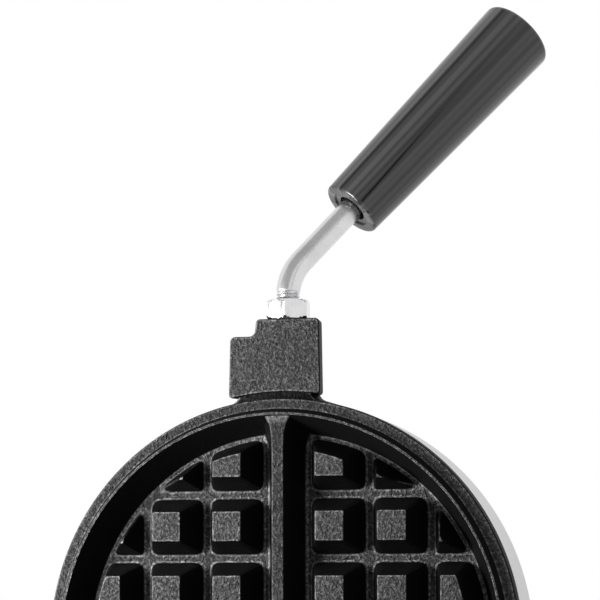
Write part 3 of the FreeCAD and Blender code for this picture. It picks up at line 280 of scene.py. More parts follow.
class Shell:
    """Points and faces that grow into one mesh."""

    def __init__(self):
        self.points = []
        self.faces = []

    def add(self, points, faces, place=None):
        """Adds points, moved to their place, and the faces between them."""
        start = len(self.points)
        self.points += [place @ Vector(point) if place else Vector(point) for point in points]
        self.faces += [[start + index for index in face] for face in faces]

    def rings(self, rings, place=None, first="fan", last="fan"):
        """Skins closed rings of equal length; the ends are fanned, left open or joined to each other."""
        count = len(rings[0])
        points = [point for ring in rings for point in ring]
        faces = []
        pairs = list(zip(range(len(rings) - 1), range(1, len(rings))))
        if last == "loop":
            pairs.append((len(rings) - 1, 0))
        for low, high in pairs:
            for index in range(count):
                following = (index + 1) % count
                faces.append([low * count + index, low * count + following,
                              high * count + following, high * count + index])
        if first == "fan":
            points.append(sum((Vector(point) for point in rings[0]), Vector()) / count)
            faces += [[len(points) - 1, (index + 1) % count, index] for index in range(count)]
        if last == "fan":
            base = (len(rings) - 1) * count
            points.append(sum((Vector(point) for point in rings[-1]), Vector()) / count)
            faces += [[len(points) - 1, base + index, base + (index + 1) % count] for index in range(count)]
        self.add(points, faces, place)

    def lathe(self, profile, segments=128, place=None, closed=False):
        """Turns (radius, height) points round +Z; ends on the axis are closed there."""
        rings = []
        for radius, height in profile:
            radius = max(radius, MERGE_DISTANCE)
            rings.append([(radius * math.cos(math.tau * step / segments),
                           radius * math.sin(math.tau * step / segments), height)
                          for step in range(segments)])
        if closed:
            self.rings(rings, place, first="open", last="loop")
        else:
            self.rings(rings, place)


def rectangle(wide, tall, place=None):
    """Flat sheet centred on its frame."""
    x = wide / 2
    y = tall / 2
    shell = Shell()
    shell.add([(-x, -y, 0), (x, -y, 0), (x, y, 0), (-x, y, 0)], [[0, 1, 2, 3]], place)
    return shell


def fillet(corners, closed=True, steps=5):
    """Rounds a path of (x, y, radius) corners with arcs."""
    path = []
    count = len(corners)
    for index, (x, y, radius) in enumerate(corners):
        here = Vector((x, y))
        if radius <= 0 or (not closed and index in (0, count - 1)):
            path.append((x, y))
            continue
        before = Vector(corners[index - 1][:2]) - here
        after = Vector(corners[(index + 1) % count][:2]) - here
        half = before.angle(after) / 2
        reach = min(radius / math.tan(half), 0.49 * before.length, 0.49 * after.length)
        radius = reach * math.tan(half)
        bisector = (before.normalized() + after.normalized()).normalized()
        centre = here + bisector * (radius / math.sin(half))
        start = here + before.normalized() * reach - centre
        end = here + after.normalized() * reach - centre
        sweep = start.angle_signed(end)
        for step in range(steps + 1):
            turn = -sweep * step / steps
            point = Vector((start.x * math.cos(turn) - start.y * math.sin(turn),
                            start.x * math.sin(turn) + start.y * math.cos(turn)))
            path.append(tuple(centre + point))
    return path


def inset(corners, depth):
    """Moves every side of an anticlockwise outline inward; corner radii follow."""
    moved = []
    count = len(corners)
    for index, (x, y, radius) in enumerate(corners):
        here = Vector((x, y))
        first = (here - Vector(corners[index - 1][:2])).normalized()
        second = (Vector(corners[(index + 1) % count][:2]) - here).normalized()
        normals = (Vector((-first.y, first.x)), Vector((-second.y, second.x)))
        middle = (normals[0] + normals[1]).normalized()
        spot = here + middle * (depth / max(middle.dot(normals[0]), 0.2))
        convex = first.x * second.y - first.y * second.x > 0
        if radius > 0:
            radius = max(radius - depth, 0.0002) if convex else radius + depth
        moved.append((spot.x, spot.y, radius))
    return moved


def slab(shell, corners, low, high, low_edge, high_edge, place, steps=4, draft=0.0):
    """Outline in x and y raised from low to high, with rounded edges; draft narrows it toward low."""
    rings = []
    for step in range(steps + 1):
        turn = math.pi / 2 * step / steps
        level = inset(corners, low_edge * (1 - math.sin(turn)))
        rings.append([(x, y, low + low_edge * (1 - math.cos(turn))) for x, y in fillet(level)])
    for step in range(steps + 1):
        turn = math.pi / 2 * step / steps
        level = inset(corners, high_edge * (1 - math.cos(turn)))
        rings.append([(x, y, high - high_edge * (1 - math.sin(turn))) for x, y in fillet(level)])
    middle = (min(corner[0] for corner in corners) + max(corner[0] for corner in corners)) / 2
    rings = [[(middle + (x - middle) * (1 - draft * (high - z) / (high - low)), y, z) for x, y, z in ring]
             for ring in rings]
    shell.rings(rings, place)


def finish_mesh(name, shell, material, crease=35.0):
    """Turns a shell into a smooth-shaded object with closed, outward faces."""
    mesh = bpy.data.meshes.new(name)
    mesh.from_pydata([tuple(point) for point in shell.points], [], shell.faces)
    work = bmesh.new()
    work.from_mesh(mesh)
    bmesh.ops.remove_doubles(work, verts=work.verts, dist=MERGE_DISTANCE)
    bmesh.ops.recalc_face_normals(work, faces=work.faces)
    work.to_mesh(mesh)
    work.free()
    mesh.shade_smooth()
    mesh.set_sharp_from_angle(angle=math.radians(crease))
    made = bpy.data.objects.new(name, mesh)
    bpy.context.scene.collection.objects.link(made)
    mesh.materials.append(material)
    return made


def settle(made, body, slot, *replaced):
    """Puts a finished piece on its body and hides the parts it stands in for."""
    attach(made, body)
    if replaced:
        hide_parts(*replaced)


class Nodes:
    """Short way to write a material's node tree."""

    def __init__(self, name):
        self.material = bpy.data.materials.new(name)
        self.material.use_nodes = True
        self.tree = self.material.node_tree
        self.shader = self.tree.nodes["Principled BSDF"]
        self.place = self.node("ShaderNodeTexCoord").outputs["Object"]

    def node(self, kind, **settings):
        """Adds a node and sets it up."""
        made = self.tree.nodes.new(kind)
        for key, value in settings.items():
            setattr(made, key, value)
        return made

    def link(self, source, target):
        """Joins two sockets."""
        self.tree.links.new(source, target)

    def set(self, **sockets):
        """Sets constant values on the shader's own sockets."""
        for key, value in sockets.items():
            self.shader.inputs[key.replace("_", " ")].default_value = value

    def stretched(self, scale):
        """Object coordinates scaled along each axis."""
        made = self.node("ShaderNodeMapping")
        made.inputs["Scale"].default_value = scale
        self.link(self.place, made.inputs["Vector"])
        return made.outputs["Vector"]

    def noise(self, scale, detail=3.0, roughness=0.55, vector=None):
        """Noise on object coordinates, or on the given ones."""
        made = self.node("ShaderNodeTexNoise")
        made.inputs["Scale"].default_value = scale
        made.inputs["Detail"].default_value = detail
        made.inputs["Roughness"].default_value = roughness
        self.link(vector or self.place, made.inputs["Vector"])
        return made.outputs["Fac"]

    def ramp(self, source, *stops):
        """Maps a factor through grey stops given as (position, value)."""
        made = self.node("ShaderNodeValToRGB")
        while len(made.color_ramp.elements) < len(stops):
            made.color_ramp.elements.new(0.5)
        for element, (position, value) in zip(made.color_ramp.elements, stops):
            element.position = position
            element.color = (*value, 1) if isinstance(value, (tuple, list)) else (value, value, value, 1)
        self.link(source, made.inputs["Fac"])
        return made.outputs["Color"]

    def mix(self, factor, first, second, blend="MIX"):
        """Mixes two colours, each a socket, a number or a colour."""
        made = self.node("ShaderNodeMix", data_type="RGBA", blend_type=blend)
        for name, value in (("Factor", factor), ("A", first), ("B", second)):
            socket = made.inputs[name]
            if hasattr(value, "is_linked"):
                self.link(value, socket)
            elif isinstance(value, (int, float)):
                socket.default_value = value
            else:
                socket.default_value = (*value, 1)
        return [output for output in made.outputs if output.type == "RGBA"][0]

    def tinted(self, base, tone):
        """Colour multiplied by a tone."""
        return self.mix(1.0, base, tone, "MULTIPLY")

    def colour(self, source):
        """Joins a colour to the shader."""
        self.link(source, self.shader.inputs["Base Color"])

    def span(self, source, low, high):
        """Stretches a factor to run from low to high."""
        made = self.node("ShaderNodeMapRange")
        made.inputs["To Min"].default_value = low
        made.inputs["To Max"].default_value = high
        self.link(source, made.inputs["Value"])
        return made.outputs["Result"]

    def rough(self, source, low, high):
        """Joins a factor to the shader's roughness."""
        self.link(self.span(source, low, high), self.shader.inputs["Roughness"])

    def bump(self, source, distance, strength=1.0):
        """Joins a height to the shader's normal."""
        made = self.node("ShaderNodeBump")
        made.inputs["Distance"].default_value = distance
        if hasattr(strength, "is_linked"):
            self.link(strength, made.inputs["Strength"])
        else:
            made.inputs["Strength"].default_value = strength
        self.link(source, made.inputs["Height"])
        self.link(made.outputs["Normal"], self.shader.inputs["Normal"])


MATERIALS = {}


def once(make):
    """Keeps one material for each finish."""
    def found():
        if make.__name__ not in MATERIALS:
            MATERIALS[make.__name__] = make()
        return MATERIALS[make.__name__]
    return found


@once
def cast_black():
    """Seasoned casting: grainy grey faces and near-black painted shade on the walls, split by the face
    attribute, with painted highlights on the edges between.
    """
    paint = Nodes("cast_black")
    face = paint.node("ShaderNodeAttribute", attribute_name="face").outputs["Fac"]
    grain = paint.noise(1450.0, 2.0, 0.55)
    pebble = paint.noise(780.0, 2.0, 0.5)
    relief = paint.mix(0.55, grain, pebble)
    speck = paint.ramp(relief, (0.38, 0.36), (0.51, 0.90), (0.62, 2.1))
    grey = paint.tinted(tuple(finishes().cast_flat), speck)
    # Tone attribute: darker flange and cross, and painted shade on the neck
    tone = paint.node("ShaderNodeAttribute", attribute_name="tone").outputs["Color"]
    grey = paint.tinted(grey, tone)
    # Painted highlight: the rounded edges between walls and faces are lightened
    edge_highlight = paint.ramp(face, (0.15, 2.1), (0.75, 2.1), (0.97, 1.0))
    grey = paint.tinted(grey, edge_highlight)
    # Painted shade: the walls take the near-black wall colour, the faces the grey
    cover = paint.ramp(face, (0.15, 0.0), (0.45, 1.0))
    paint.colour(paint.mix(cover, tuple(finishes().cast_wall), grey))
    paint.rough(grain, 0.36, 0.52)
    paint.bump(relief, 0.0060, paint.span(face, 0.15, 1.0))
    paint.link(paint.span(face, 0.02, 0.24), paint.shader.inputs["Specular IOR Level"])
    return paint.material


def brushed(name, base, scale, low, high):
    """Sheet metal with fine lines along one axis."""
    paint = Nodes(name)
    lines = paint.noise(1.0, 3.0, 0.7, paint.stretched(scale))
    cloud = paint.noise(9.0, 2.0, 0.5)
    tone = paint.tinted(base, paint.ramp(lines, (0.3, 0.82), (0.7, 1.08)))
    paint.colour(paint.tinted(tone, paint.ramp(cloud, (0.3, 0.93), (0.7, 1.04))))
    paint.rough(lines, low, high)
    paint.bump(lines, 0.00004, 0.4)
    paint.set(Metallic=1.0)
    return paint.material


@once
def stainless():
    """Brushed sheet of the base and covers, lines running across."""
    return brushed("stainless", tuple(finishes().stainless), (14.0, 1800.0, 1800.0), 0.30, 0.42)


@once
def bright_steel():
    """Drawn bar with faint lines and handling marks."""
    paint = Nodes("bright_steel")
    lines = paint.noise(1.0, 3.0, 0.6, paint.stretched((900.0, 900.0, 60.0)))
    marks = paint.noise(160.0, 4.0, 0.6)
    paint.colour(paint.tinted(tuple(finishes().bright), paint.ramp(marks, (0.30, 0.93), (0.62, 1.02))))
    paint.rough(lines, 0.24, 0.32)
    paint.bump(marks, 0.00001, 0.1)
    paint.set(Metallic=1.0)
    return paint.material


@once
def plated_steel():
    """Bright plating of nuts and screws."""
    paint = Nodes("plated_steel")
    cloud = paint.noise(240.0, 3.0, 0.5)
    paint.colour(paint.tinted(tuple(finishes().plated), paint.ramp(cloud, (0.3, 0.90), (0.7, 1.05))))
    paint.rough(cloud, 0.16, 0.26)
    paint.bump(cloud, 0.00004, 0.3)
    paint.set(Metallic=1.0)
    return paint.material


@once
def dark_steel():
    """Heat-stained steel of the elements, clamps and rings."""
    paint = Nodes("dark_steel")
    stain = paint.noise(70.0, 4.0, 0.6)
    paint.colour(paint.ramp(stain, (0.3, (0.10, 0.095, 0.09)), (0.7, (0.27, 0.25, 0.23))))
    paint.rough(stain, 0.34, 0.52)
    paint.bump(paint.noise(900.0), 0.00005, 0.4)
    paint.set(Metallic=1.0)
    return paint.material


@once
def bakelite():
    """Glossy black moulding with painted reflection streaks along its length, from the streak attribute."""
    paint = Nodes("bakelite")
    streak = paint.node("ShaderNodeAttribute", attribute_name="streak").outputs["Fac"]
    fine = paint.noise(600.0, 2.0, 0.5)
    paint.colour(paint.mix(streak, tuple(finishes().bakelite), tuple(finishes().bakelite_worn)))
    paint.rough(streak, 0.10, 0.24)
    paint.bump(fine, 0.00002, 0.2)
    paint.set(Specular_IOR_Level=0.55)
    return paint.material


def moulded(name, base, low=0.34, high=0.5, grain=1500.0, depth=0.00008):
    """Moulded plastic or rubber with a fine grain."""
    paint = Nodes(name)
    fine = paint.noise(grain, 3.0, 0.6)
    broad = paint.noise(45.0, 3.0, 0.5)
    paint.colour(paint.tinted(base, paint.ramp(broad, (0.3, 0.82), (0.7, 1.15))))
    paint.rough(fine, low, high)
    paint.bump(fine, depth, 0.5)
    return paint.material


@once
def black_plastic():
    """Grained plastic of knobs, gland and switch."""
    return moulded("black_plastic", tuple(finishes().black))


@once
def rubber():
    """Matt rubber of feet and bushes."""
    return moulded("rubber", tuple(finishes().rubber), 0.62, 0.78, 900.0, 0.00012)


@once
def panel_black():
    """Satin paint of the control panel."""
    return moulded("panel_black", tuple(finishes().panel), 0.36, 0.46, 2200.0, 0.00004)


@once
def mark_paint():
    """Pale print of dial marks, numbers and pointers."""
    return moulded("mark_paint", tuple(finishes().marks), 0.45, 0.6, 1800.0, 0.00002)


@once
def grey_case():
    """Grey moulding behind the panel."""
    return moulded("grey_case", (0.10, 0.10, 0.105))


@once
def ceramic():
    """Unglazed terminal block."""
    return moulded("ceramic", tuple(finishes().ceramic), 0.5, 0.65, 700.0, 0.00006)


@once
def fibre():
    """Pressed fibre of the insulation pads."""
    return moulded("fibre", tuple(finishes().fibre), 0.85, 0.95, 400.0, 0.0004)


@once
def brass():
    """Turned brass of the insert and the terminals."""
    return brushed("brass", tuple(finishes().brass), (600.0, 600.0, 600.0), 0.24, 0.36)


def lens(name, base):
    """Tinted lens with a prismatic back."""
    paint = Nodes(name)
    rings = paint.noise(420.0, 1.0, 0.4)
    paint.colour(paint.tinted(base, paint.ramp(rings, (0.35, 0.55), (0.65, 1.4))))
    paint.rough(rings, 0.08, 0.16)
    paint.bump(rings, 0.0001, 0.3)
    paint.set(Specular_IOR_Level=0.6, Coat_Weight=0.5)
    return paint.material


@once
def red_lens():
    """Lens of the power lamp."""
    return lens("red_lens", tuple(finishes().red))


@once
def green_lens():
    """Lens of the ready lamp."""
    return lens("green_lens", tuple(finishes().green))


@once
def red_plastic():
    """Glossy rocker."""
    return moulded("red_plastic", tuple(finishes().red), 0.22, 0.32, 1600.0, 0.00003)


def floor_white():
    """White floor: shaded near the part, plain white for the camera farther out."""
    paint = Nodes("floor_white")
    paint.set(Base_Color=(0.9, 0.9, 0.9, 1), Roughness=0.9)
    apart = paint.node("ShaderNodeVectorMath", operation="LENGTH")
    paint.link(paint.place, apart.inputs[0])
    fade = paint.node("ShaderNodeMapRange", interpolation_type="SMOOTHSTEP")
    fade.inputs["From Min"].default_value = 0.25
    fade.inputs["From Max"].default_value = 0.75
    fade.inputs["To Min"].default_value = 0.5
    paint.link(apart.outputs["Value"], fade.inputs["Value"])
    rays = paint.node("ShaderNodeLightPath")
    eyes = paint.node("ShaderNodeMath", operation="MAXIMUM")
    paint.link(rays.outputs["Is Camera Ray"], eyes.inputs[0])
    paint.link(rays.outputs["Is Glossy Ray"], eyes.inputs[1])
    seen = paint.node("ShaderNodeMath", operation="MULTIPLY")
    paint.link(fade.outputs["Result"], seen.inputs[0])
    paint.link(eyes.outputs[0], seen.inputs[1])
    glow = paint.node("ShaderNodeEmission")
    glow.inputs["Strength"].default_value = 1.0
    join = paint.node("ShaderNodeMixShader")
    paint.link(seen.outputs[0], join.inputs["Fac"])
    paint.link(paint.shader.outputs["BSDF"], join.inputs[1])
    paint.link(glow.outputs["Emission"], join.inputs[2])
    paint.link(join.outputs["Shader"], paint.tree.nodes["Material Output"].inputs["Surface"])
    return paint.material


def card(name, tone):
    """Cloth of the cards that bright metal and gloss reflect."""
    paint = Nodes(name)
    paint.set(Base_Color=(0, 0, 0, 1), Roughness=0.9, Specular_IOR_Level=0.0,
              Emission_Color=(tone, tone, tone, 1), Emission_Strength=1.0)
    return paint.material


@once
def card_black():
    """Card that gives metal its dark lines."""
    return card("card_black", 0.01)


@once
def card_grey():
    """Card that gives metal its grey half."""
    return card("card_grey", 0.46)


# Cards: name, place from the grip, width, height, roll in degrees and finish
CARDS = (("card_front", (0.30, -1.6, 0.1), 0.14, 2.4, 0.0, card_black),
         ("card_left", (-0.73, -1.22, 0.73), 2.2, 1.8, 45.0, card_grey),
         ("card_high", (-0.08, -0.66, 1.44), 2.6, 1.2, 33.0, card_grey),
         ("card_right", (1.2, -1.1, 0.1), 0.12, 2.4, 0.0, card_black))


def dress(material, *names):
    """Gives carried-over solids their finish."""
    for name in names:
        mesh = NODES[name].data
        mesh.materials.clear()
        mesh.materials.append(material)


def solids_of(name, place):
    """Boxes of a node's separate solids in the given frame: (low, high) pairs, sorted by low corner."""
    work = bmesh.new()
    work.from_mesh(NODES[name].data)
    bmesh.ops.remove_doubles(work, verts=work.verts, dist=MERGE_DISTANCE)
    bmesh.ops.transform(work, matrix=place.inverted() @ NODES[name].matrix_world, verts=work.verts)
    boxes = []
    waiting = set(work.verts)
    while waiting:
        island = {waiting.pop()}
        edge = set(island)
        while edge:
            edge = {link.other_vert(vertex) for vertex in edge for link in vertex.link_edges} - island
            island |= edge
        waiting -= island
        boxes.append((Vector([min(vertex.co[axis] for vertex in island) for axis in range(3)]),
                      Vector([max(vertex.co[axis] for vertex in island) for axis in range(3)])))
    work.free()
    return sorted(boxes, key=lambda box: tuple(box[0]))


class Growth:
    """Short way to write a geometry node tree with named inputs."""

    def __init__(self, name, inputs):
        self.tree = bpy.data.node_groups.new(name, "GeometryNodeTree")
        self.tree.interface.new_socket("Geometry", in_out="INPUT", socket_type="NodeSocketGeometry")
        self.tree.interface.new_socket("Geometry", in_out="OUTPUT", socket_type="NodeSocketGeometry")
        for label, kind in inputs:
            self.tree.interface.new_socket(label, in_out="INPUT", socket_type="NodeSocket" + kind)
        self.given = self.tree.nodes.new("NodeGroupInput").outputs

    def node(self, kind, links=None, **settings):
        """Adds a node, sets it up, joins or fills its inputs and gives its outputs."""
        made = self.tree.nodes.new(kind)
        for key, value in settings.items():
            setattr(made, key, value)
        for key, value in (links or {}).items():
            for item in value if isinstance(value, list) else [value]:
                if hasattr(item, "is_linked"):
                    self.tree.links.new(item, made.inputs[key])
                else:
                    made.inputs[key].default_value = item
        return made.outputs

    def times(self, source, factor):
        """Product of two numbers."""
        return self.node("ShaderNodeMath", {0: source, 1: factor}, operation="MULTIPLY")[0]

    def vector(self, x, y, z):
        """Vector of three numbers."""
        return self.node("ShaderNodeCombineXYZ", {"X": x, "Y": y, "Z": z})[0]

    def lifted(self, shape, height):
        """Moves a shape along its +Z."""
        step = self.vector(0.0, 0.0, height)
        return self.node("GeometryNodeTransform", {"Geometry": shape, "Translation": step})[0]

    def end(self, instances, finish):
        """Realizes the instances, sets their material and closes the tree."""
        real = self.node("GeometryNodeRealizeInstances", {"Geometry": instances})[0]
        done = self.node("GeometryNodeSetMaterial", {"Geometry": real, "Material": finish})[0]
        self.node("NodeGroupOutput", {"Geometry": done})
        return self.tree


def screw_tree():
    """Screws on points: the head ends at the point and faces along the point's turned +Z."""
    grow = Growth("cross_recessed_screws", (("Head Radius", "Float"), ("Head Height", "Float"),
                                            ("Shank", "Float"), ("Finish", "Material")))
    radius = grow.given["Head Radius"]
    height = grow.given["Head Height"]
    half = grow.times(height, 0.5)
    rim = grow.node("GeometryNodeMeshCylinder", {"Vertices": 40, "Radius": radius, "Depth": half})["Mesh"]
    crown = grow.node("GeometryNodeMeshCone", {"Vertices": 40, "Radius Bottom": radius, "Depth": half,
                                               "Radius Top": grow.times(radius, 0.66)})["Mesh"]
    stack = [grow.lifted(rim, grow.times(height, -0.75)), grow.lifted(crown, grow.times(height, -0.5))]
    head = grow.node("GeometryNodeMeshBoolean", {"Mesh 2": stack}, operation="UNION")["Mesh"]
    for wide, deep in ((0.24, 1.1), (1.1, 0.24)):
        size = grow.vector(grow.times(radius, wide), grow.times(radius, deep), height)
        arm = grow.node("GeometryNodeMeshCube", {"Size": size})["Mesh"]
        head = grow.node("GeometryNodeMeshBoolean", {"Mesh 1": head, "Mesh 2": arm},
                         operation="DIFFERENCE")["Mesh"]
    reach = grow.given["Shank"]
    shank = grow.node("GeometryNodeMeshCylinder", {"Vertices": 24, "Radius": grow.times(radius, 0.5),
                                                   "Depth": grow.times(reach, 0.8)})["Mesh"]
    middle = grow.node("ShaderNodeMath", {0: reach, 1: height}, operation="ADD")[0]
    shank = grow.lifted(shank, grow.times(middle, -0.5))
    whole = grow.node("GeometryNodeJoinGeometry", {"Geometry": [head, shank]})[0]
    turn = grow.node("GeometryNodeInputNamedAttribute", {"Name": "turn"},
                     data_type="FLOAT_VECTOR")["Attribute"]
    spread = grow.node("GeometryNodeInstanceOnPoints",
                       {"Points": grow.given["Geometry"], "Instance": whole, "Rotation": turn})[0]
    return grow.end(spread, grow.given["Finish"])


def tick_tree():
    """Ticks on an arc: count, turn between ticks, ring radius and tick length."""
    width = 0.0005
    thickness = 0.00016
    grow = Growth("dial_ticks", (("Count", "Int"), ("Step", "Float"), ("Radius", "Float"),
                                 ("Length", "Float"), ("Finish", "Material")))
    row = grow.node("GeometryNodeMeshLine", {"Count": grow.given["Count"], "Offset": (0, 0, 0)})["Mesh"]
    size = grow.vector(width, grow.given["Length"], thickness)
    bar = grow.node("GeometryNodeMeshCube", {"Size": size})["Mesh"]
    out = grow.vector(0.0, grow.given["Radius"], 0.0)
    bar = grow.node("GeometryNodeTransform", {"Geometry": bar, "Translation": out})[0]
    place = grow.node("GeometryNodeInputIndex")[0]
    turn = grow.times(place, grow.given["Step"])
    spread = grow.node("GeometryNodeInstanceOnPoints",
                       {"Points": row, "Instance": bar, "Rotation": grow.vector(0.0, 0.0, turn)})[0]
    return grow.end(spread, grow.given["Finish"])


def evaluated_shell(helper, place):
    """Shell of a helper object's evaluated mesh, in place; the helper is removed."""
    bpy.context.scene.collection.objects.link(helper)
    bpy.context.view_layer.update()
    ready = bpy.data.meshes.new_from_object(helper.evaluated_get(bpy.context.evaluated_depsgraph_get()))
    bpy.data.objects.remove(helper)
    shell = Shell()
    faces = [list(face.vertices) for face in ready.polygons]
    shell.add([vertex.co for vertex in ready.vertices], faces, place)
    return shell


def grown(name, tree, mesh, place, values):
    """Grows a mesh through a tree with the given inputs, and returns it as a plain object in place."""
    seed = bpy.data.objects.new(name + "_seed", mesh)
    step = seed.modifiers.new("growth", "NODES")
    step.node_group = tree
    sockets = {item.name: item.identifier for item in tree.interface.items_tree if item.in_out == "INPUT"}
    for label, value in values.items():
        step[sockets[label]] = value
    return finish_mesh(name, evaluated_shell(seed, place), values["Finish"], 30.0)


def mark_faces(made, frame_of_plate, has_neck):
    """Stores how far each point faces out of the plate (the cast material paints wall shade and edge
    highlights from it), a darker tone on flange and cross, and painted shade on the neck.
    """
    s = plate()
    face_start = 0.55
    plain_tone = 1.0
    rim_tone = 0.62
    # Painted shade on the recessed neck below the lug
    neck_shade = 0.2
    flange_inner = s.lip_foot_radius - 0.001
    flange_outer = s.plate_radius + 0.0002
    flange_low = -s.lip_height - 0.002
    cross_half = s.divider_top / 2 + 0.0008
    cross_low = 0.9 * s.divider_height - s.cavity_depth
    neck_height = -lug().neck_drop
    neck_root = 0.009 - s.plate_radius
    neck_slack = 0.0003
    outward = frame_of_plate.to_3x3() @ Vector((0, 0, 1))
    local = frame_of_plate.inverted()
    face = made.data.attributes.new("face", "FLOAT", "POINT")
    tone = made.data.attributes.new("tone", "FLOAT", "POINT")
    for vertex in made.data.vertices:
        facing = (vertex.normal.dot(outward) - face_start) / (1 - face_start)
        face.data[vertex.index].value = min(max(facing, 0.0), 1.0)
        spot = local @ vertex.co
        radius = math.hypot(spot.x, spot.y)
        on_flange = flange_inner < radius < flange_outer and spot.z > flange_low
        on_ridge = min(abs(spot.x), abs(spot.y)) < cross_half and radius < s.cavity_radius
        shade = plain_tone
        if has_neck and abs(spot.z - neck_height) < neck_slack and spot.y < neck_root:
            shade = neck_shade
        elif on_flange or (on_ridge and spot.z > cross_low):
            shade = rim_tone
        tone.data[vertex.index].value = shade


def add_dish(shell, place):
    """Dish, rim lip and flange as one turned shape."""
    s = plate()
    floor = -s.cavity_depth
    face = -s.lip_height
    back = face - s.flange_thickness
    rear = floor - s.floor_thickness
    profile = fillet([
        (0, floor, 0), (s.wall_foot_radius, floor, 0.0022), (s.cavity_radius, 0, 0.0006),
        (s.cavity_radius + s.lip_width, 0, 0.0006), (s.lip_foot_radius, face, 0.0012),
        (s.plate_radius, face, 0.0014), (s.plate_radius, back, 0.0010), (s.body_radius, back, 0.0),
        (s.body_radius, rear, 0.0015), (0, rear, 0)], closed=False)
    shell.lathe(profile, 224, place)


def add_stud(shell, x, y, place, points=56):
    """One stud, cut by the field's circle where it reaches the rim."""
    s = plate()
    least_room = 0.0012
    least_gap = 0.0001
    least_peak = 0.3
    tip_rise = 0.0007
    tip_width = 0.12

    def half_width(share):
        return (s.stud_foot + (s.stud_top - s.stud_foot) * share) / 2

    def field(share):
        return s.field_radius + (s.field_top_radius - s.field_radius) * share

    def room(share):
        """Distance from the stud's inner corner to the field's circle."""
        half = half_width(share)
        return field(share) - math.hypot(max(abs(x) - half, 0), max(abs(y) - half, 0))

    peak = 1.0
    while room(peak) < least_room and peak > least_peak:
        peak -= 0.01
    half = half_width(peak)
    corner = Vector((abs(x) - half, abs(y) - half))
    reach = min(room(peak) / 2, half)
    hub = Vector((abs(x), abs(y)))
    if hub.length + 0.3 * half > field(peak):
        toward = (hub - corner).normalized()
        hub = corner + toward * reach
    if hub.length > field(peak) - 0.0008:
        hub *= (field(peak) - least_room) / hub.length
    hub = Vector((math.copysign(hub.x, x), math.copysign(hub.y, y)))
    rings = []
    for share, flare in STUD_LEVELS:
        share *= peak
        half = half_width(share) + flare
        limit = field(share) + flare
        sharp = 9.0 + 16.0 * max(share, 0.0)
        ring = []
        for step in range(points):
            turn = math.tau * step / points
            way = Vector((math.cos(turn), math.sin(turn)))
            inverse = 0.0
            for axis, centre in ((0, x), (1, y)):
                for side in (-1, 1):
                    along = way[axis] * side
                    if along > 1e-9:
                        gap = max(centre * side + half - hub[axis] * side, least_gap)
                        inverse += (along / gap) ** sharp
            across = hub.dot(way)
            to_circle = -across + math.sqrt(max(across * across + limit * limit - hub.length_squared, 1e-12))
            inverse += max(to_circle, least_gap) ** -sharp
            spot = hub + way * inverse ** (-1 / sharp)
            ring.append((spot.x, spot.y, -s.cavity_depth + share * s.stud_height))
        rings.append(ring)
    if peak < 1.0:
        tip = Vector((hub.x, hub.y, rings[-1][0][2] + tip_rise))
        rings.append([tuple(tip + (Vector(point) - tip) * tip_width) for point in ring])
    shell.rings(rings, place)


def add_studs(shell, place):
    """Studs of all four quarters; those with no room inside the field are left out."""
    s = plate()
    least_foot = 0.004
    steps = [s.stud_offset + s.stud_pitch * step for step in range(3)]
    for x in steps:
        for y in steps:
            if math.hypot(x - s.stud_foot / 2, y - s.stud_foot / 2) > s.field_radius - least_foot:
                continue
            for side_x in (-1, 1):
                for side_y in (-1, 1):
                    add_stud(shell, x * side_x, y * side_y, place)


def add_dividers(shell, place):
    """Cross of two ridges that flare into the rim wall."""
    s = plate()
    spread = 0.0034
    run_out = 0.0030
    end = s.cavity_radius - 0.0002
    stations = [end * step / 24 for step in range(-24, 25)]
    for turn in (0, math.pi / 2):
        rings = []
        for along in stations:
            ring = []
            for side in (1, -1):
                for share, flare in DIVIDER_LEVELS[::side]:
                    wall = s.wall_foot_radius + (s.cavity_radius - s.wall_foot_radius) * share
                    merge = spread * math.exp(-max(wall - abs(along), 0) / run_out)
                    half = (s.divider_foot + (s.divider_top - s.divider_foot) * share) / 2 + flare + merge
                    ring.append((side * half, along, -s.cavity_depth + share * s.divider_height))
            rings.append(ring)
        shell.rings(rings, place @ turned("Z", turn))


def add_lug(shell, place):
    """Stepped lug, its foot on an arc round the flange, and the neck that joins it to the plate."""
    s = lug()
    lean = 0.0006
    foot_round = 0.0015
    top_round = 0.0018
    inner = plate().plate_radius + s.groove
    wide = math.asin(s.left / inner)
    narrow = math.asin(s.right / inner)
    sweep = [(wide + narrow) * step / 8 - wide for step in range(8, -1, -1)]
    outline = [(-inner * math.sin(turn), -inner * math.cos(turn), 0.0) for turn in sweep]
    outline[0] = (*outline[0][:2], foot_round)
    outline[-1] = (*outline[-1][:2], foot_round)
    outline += [(s.left - lean, -s.shoulder, 0.0022), (s.step, -s.shoulder, 0.0026),
                (s.step - 0.0007, -s.reach, top_round), (-s.right + lean, -s.reach, top_round)]
    slab(shell, outline[::-1], -s.drop - s.depth, -s.drop, 0.0042, 0.0013, place, draft=0.17)
    back = -plate().cavity_depth - plate().floor_thickness
    near = 0.008 - plate().plate_radius
    far = -inner - 0.004
    edge = -plate().plate_radius
    left = s.neck_left
    right = s.neck_right - 0.0035
    slab(shell, [(-right, far, 0.001), (left, far, 0.001), (left, edge + 0.0005, 0.005),
                 (left + 0.008, edge + 0.0035, 0.0), (left + 0.006, near, 0.0), (-right - 0.008, near, 0.0),
                 (-right - 0.010, edge + 0.0025, 0.0), (-right, edge - 0.0005, 0.005)],
         back, -s.neck_drop, 0.0015, 0.0015, place)


def side_frame(place, start):
    """Frame for outlines drawn across the hinge: x toward the hinge, y out of the plate, z along +X."""
    return place @ shifted(start, 0, 0) @ Matrix(((0, 0, 1, 0), (1, 0, 0, 0), (0, 1, 0, 0), (0, 0, 0, 1)))


def arc_points(x, y, radius, turns, lean=0.0):
    """Corners on an arc, at the given turns in degrees past the lean."""
    return [(x + radius * math.cos(math.radians(turn + lean)),
             y + radius * math.sin(math.radians(turn + lean)), 0.0) for turn in turns]


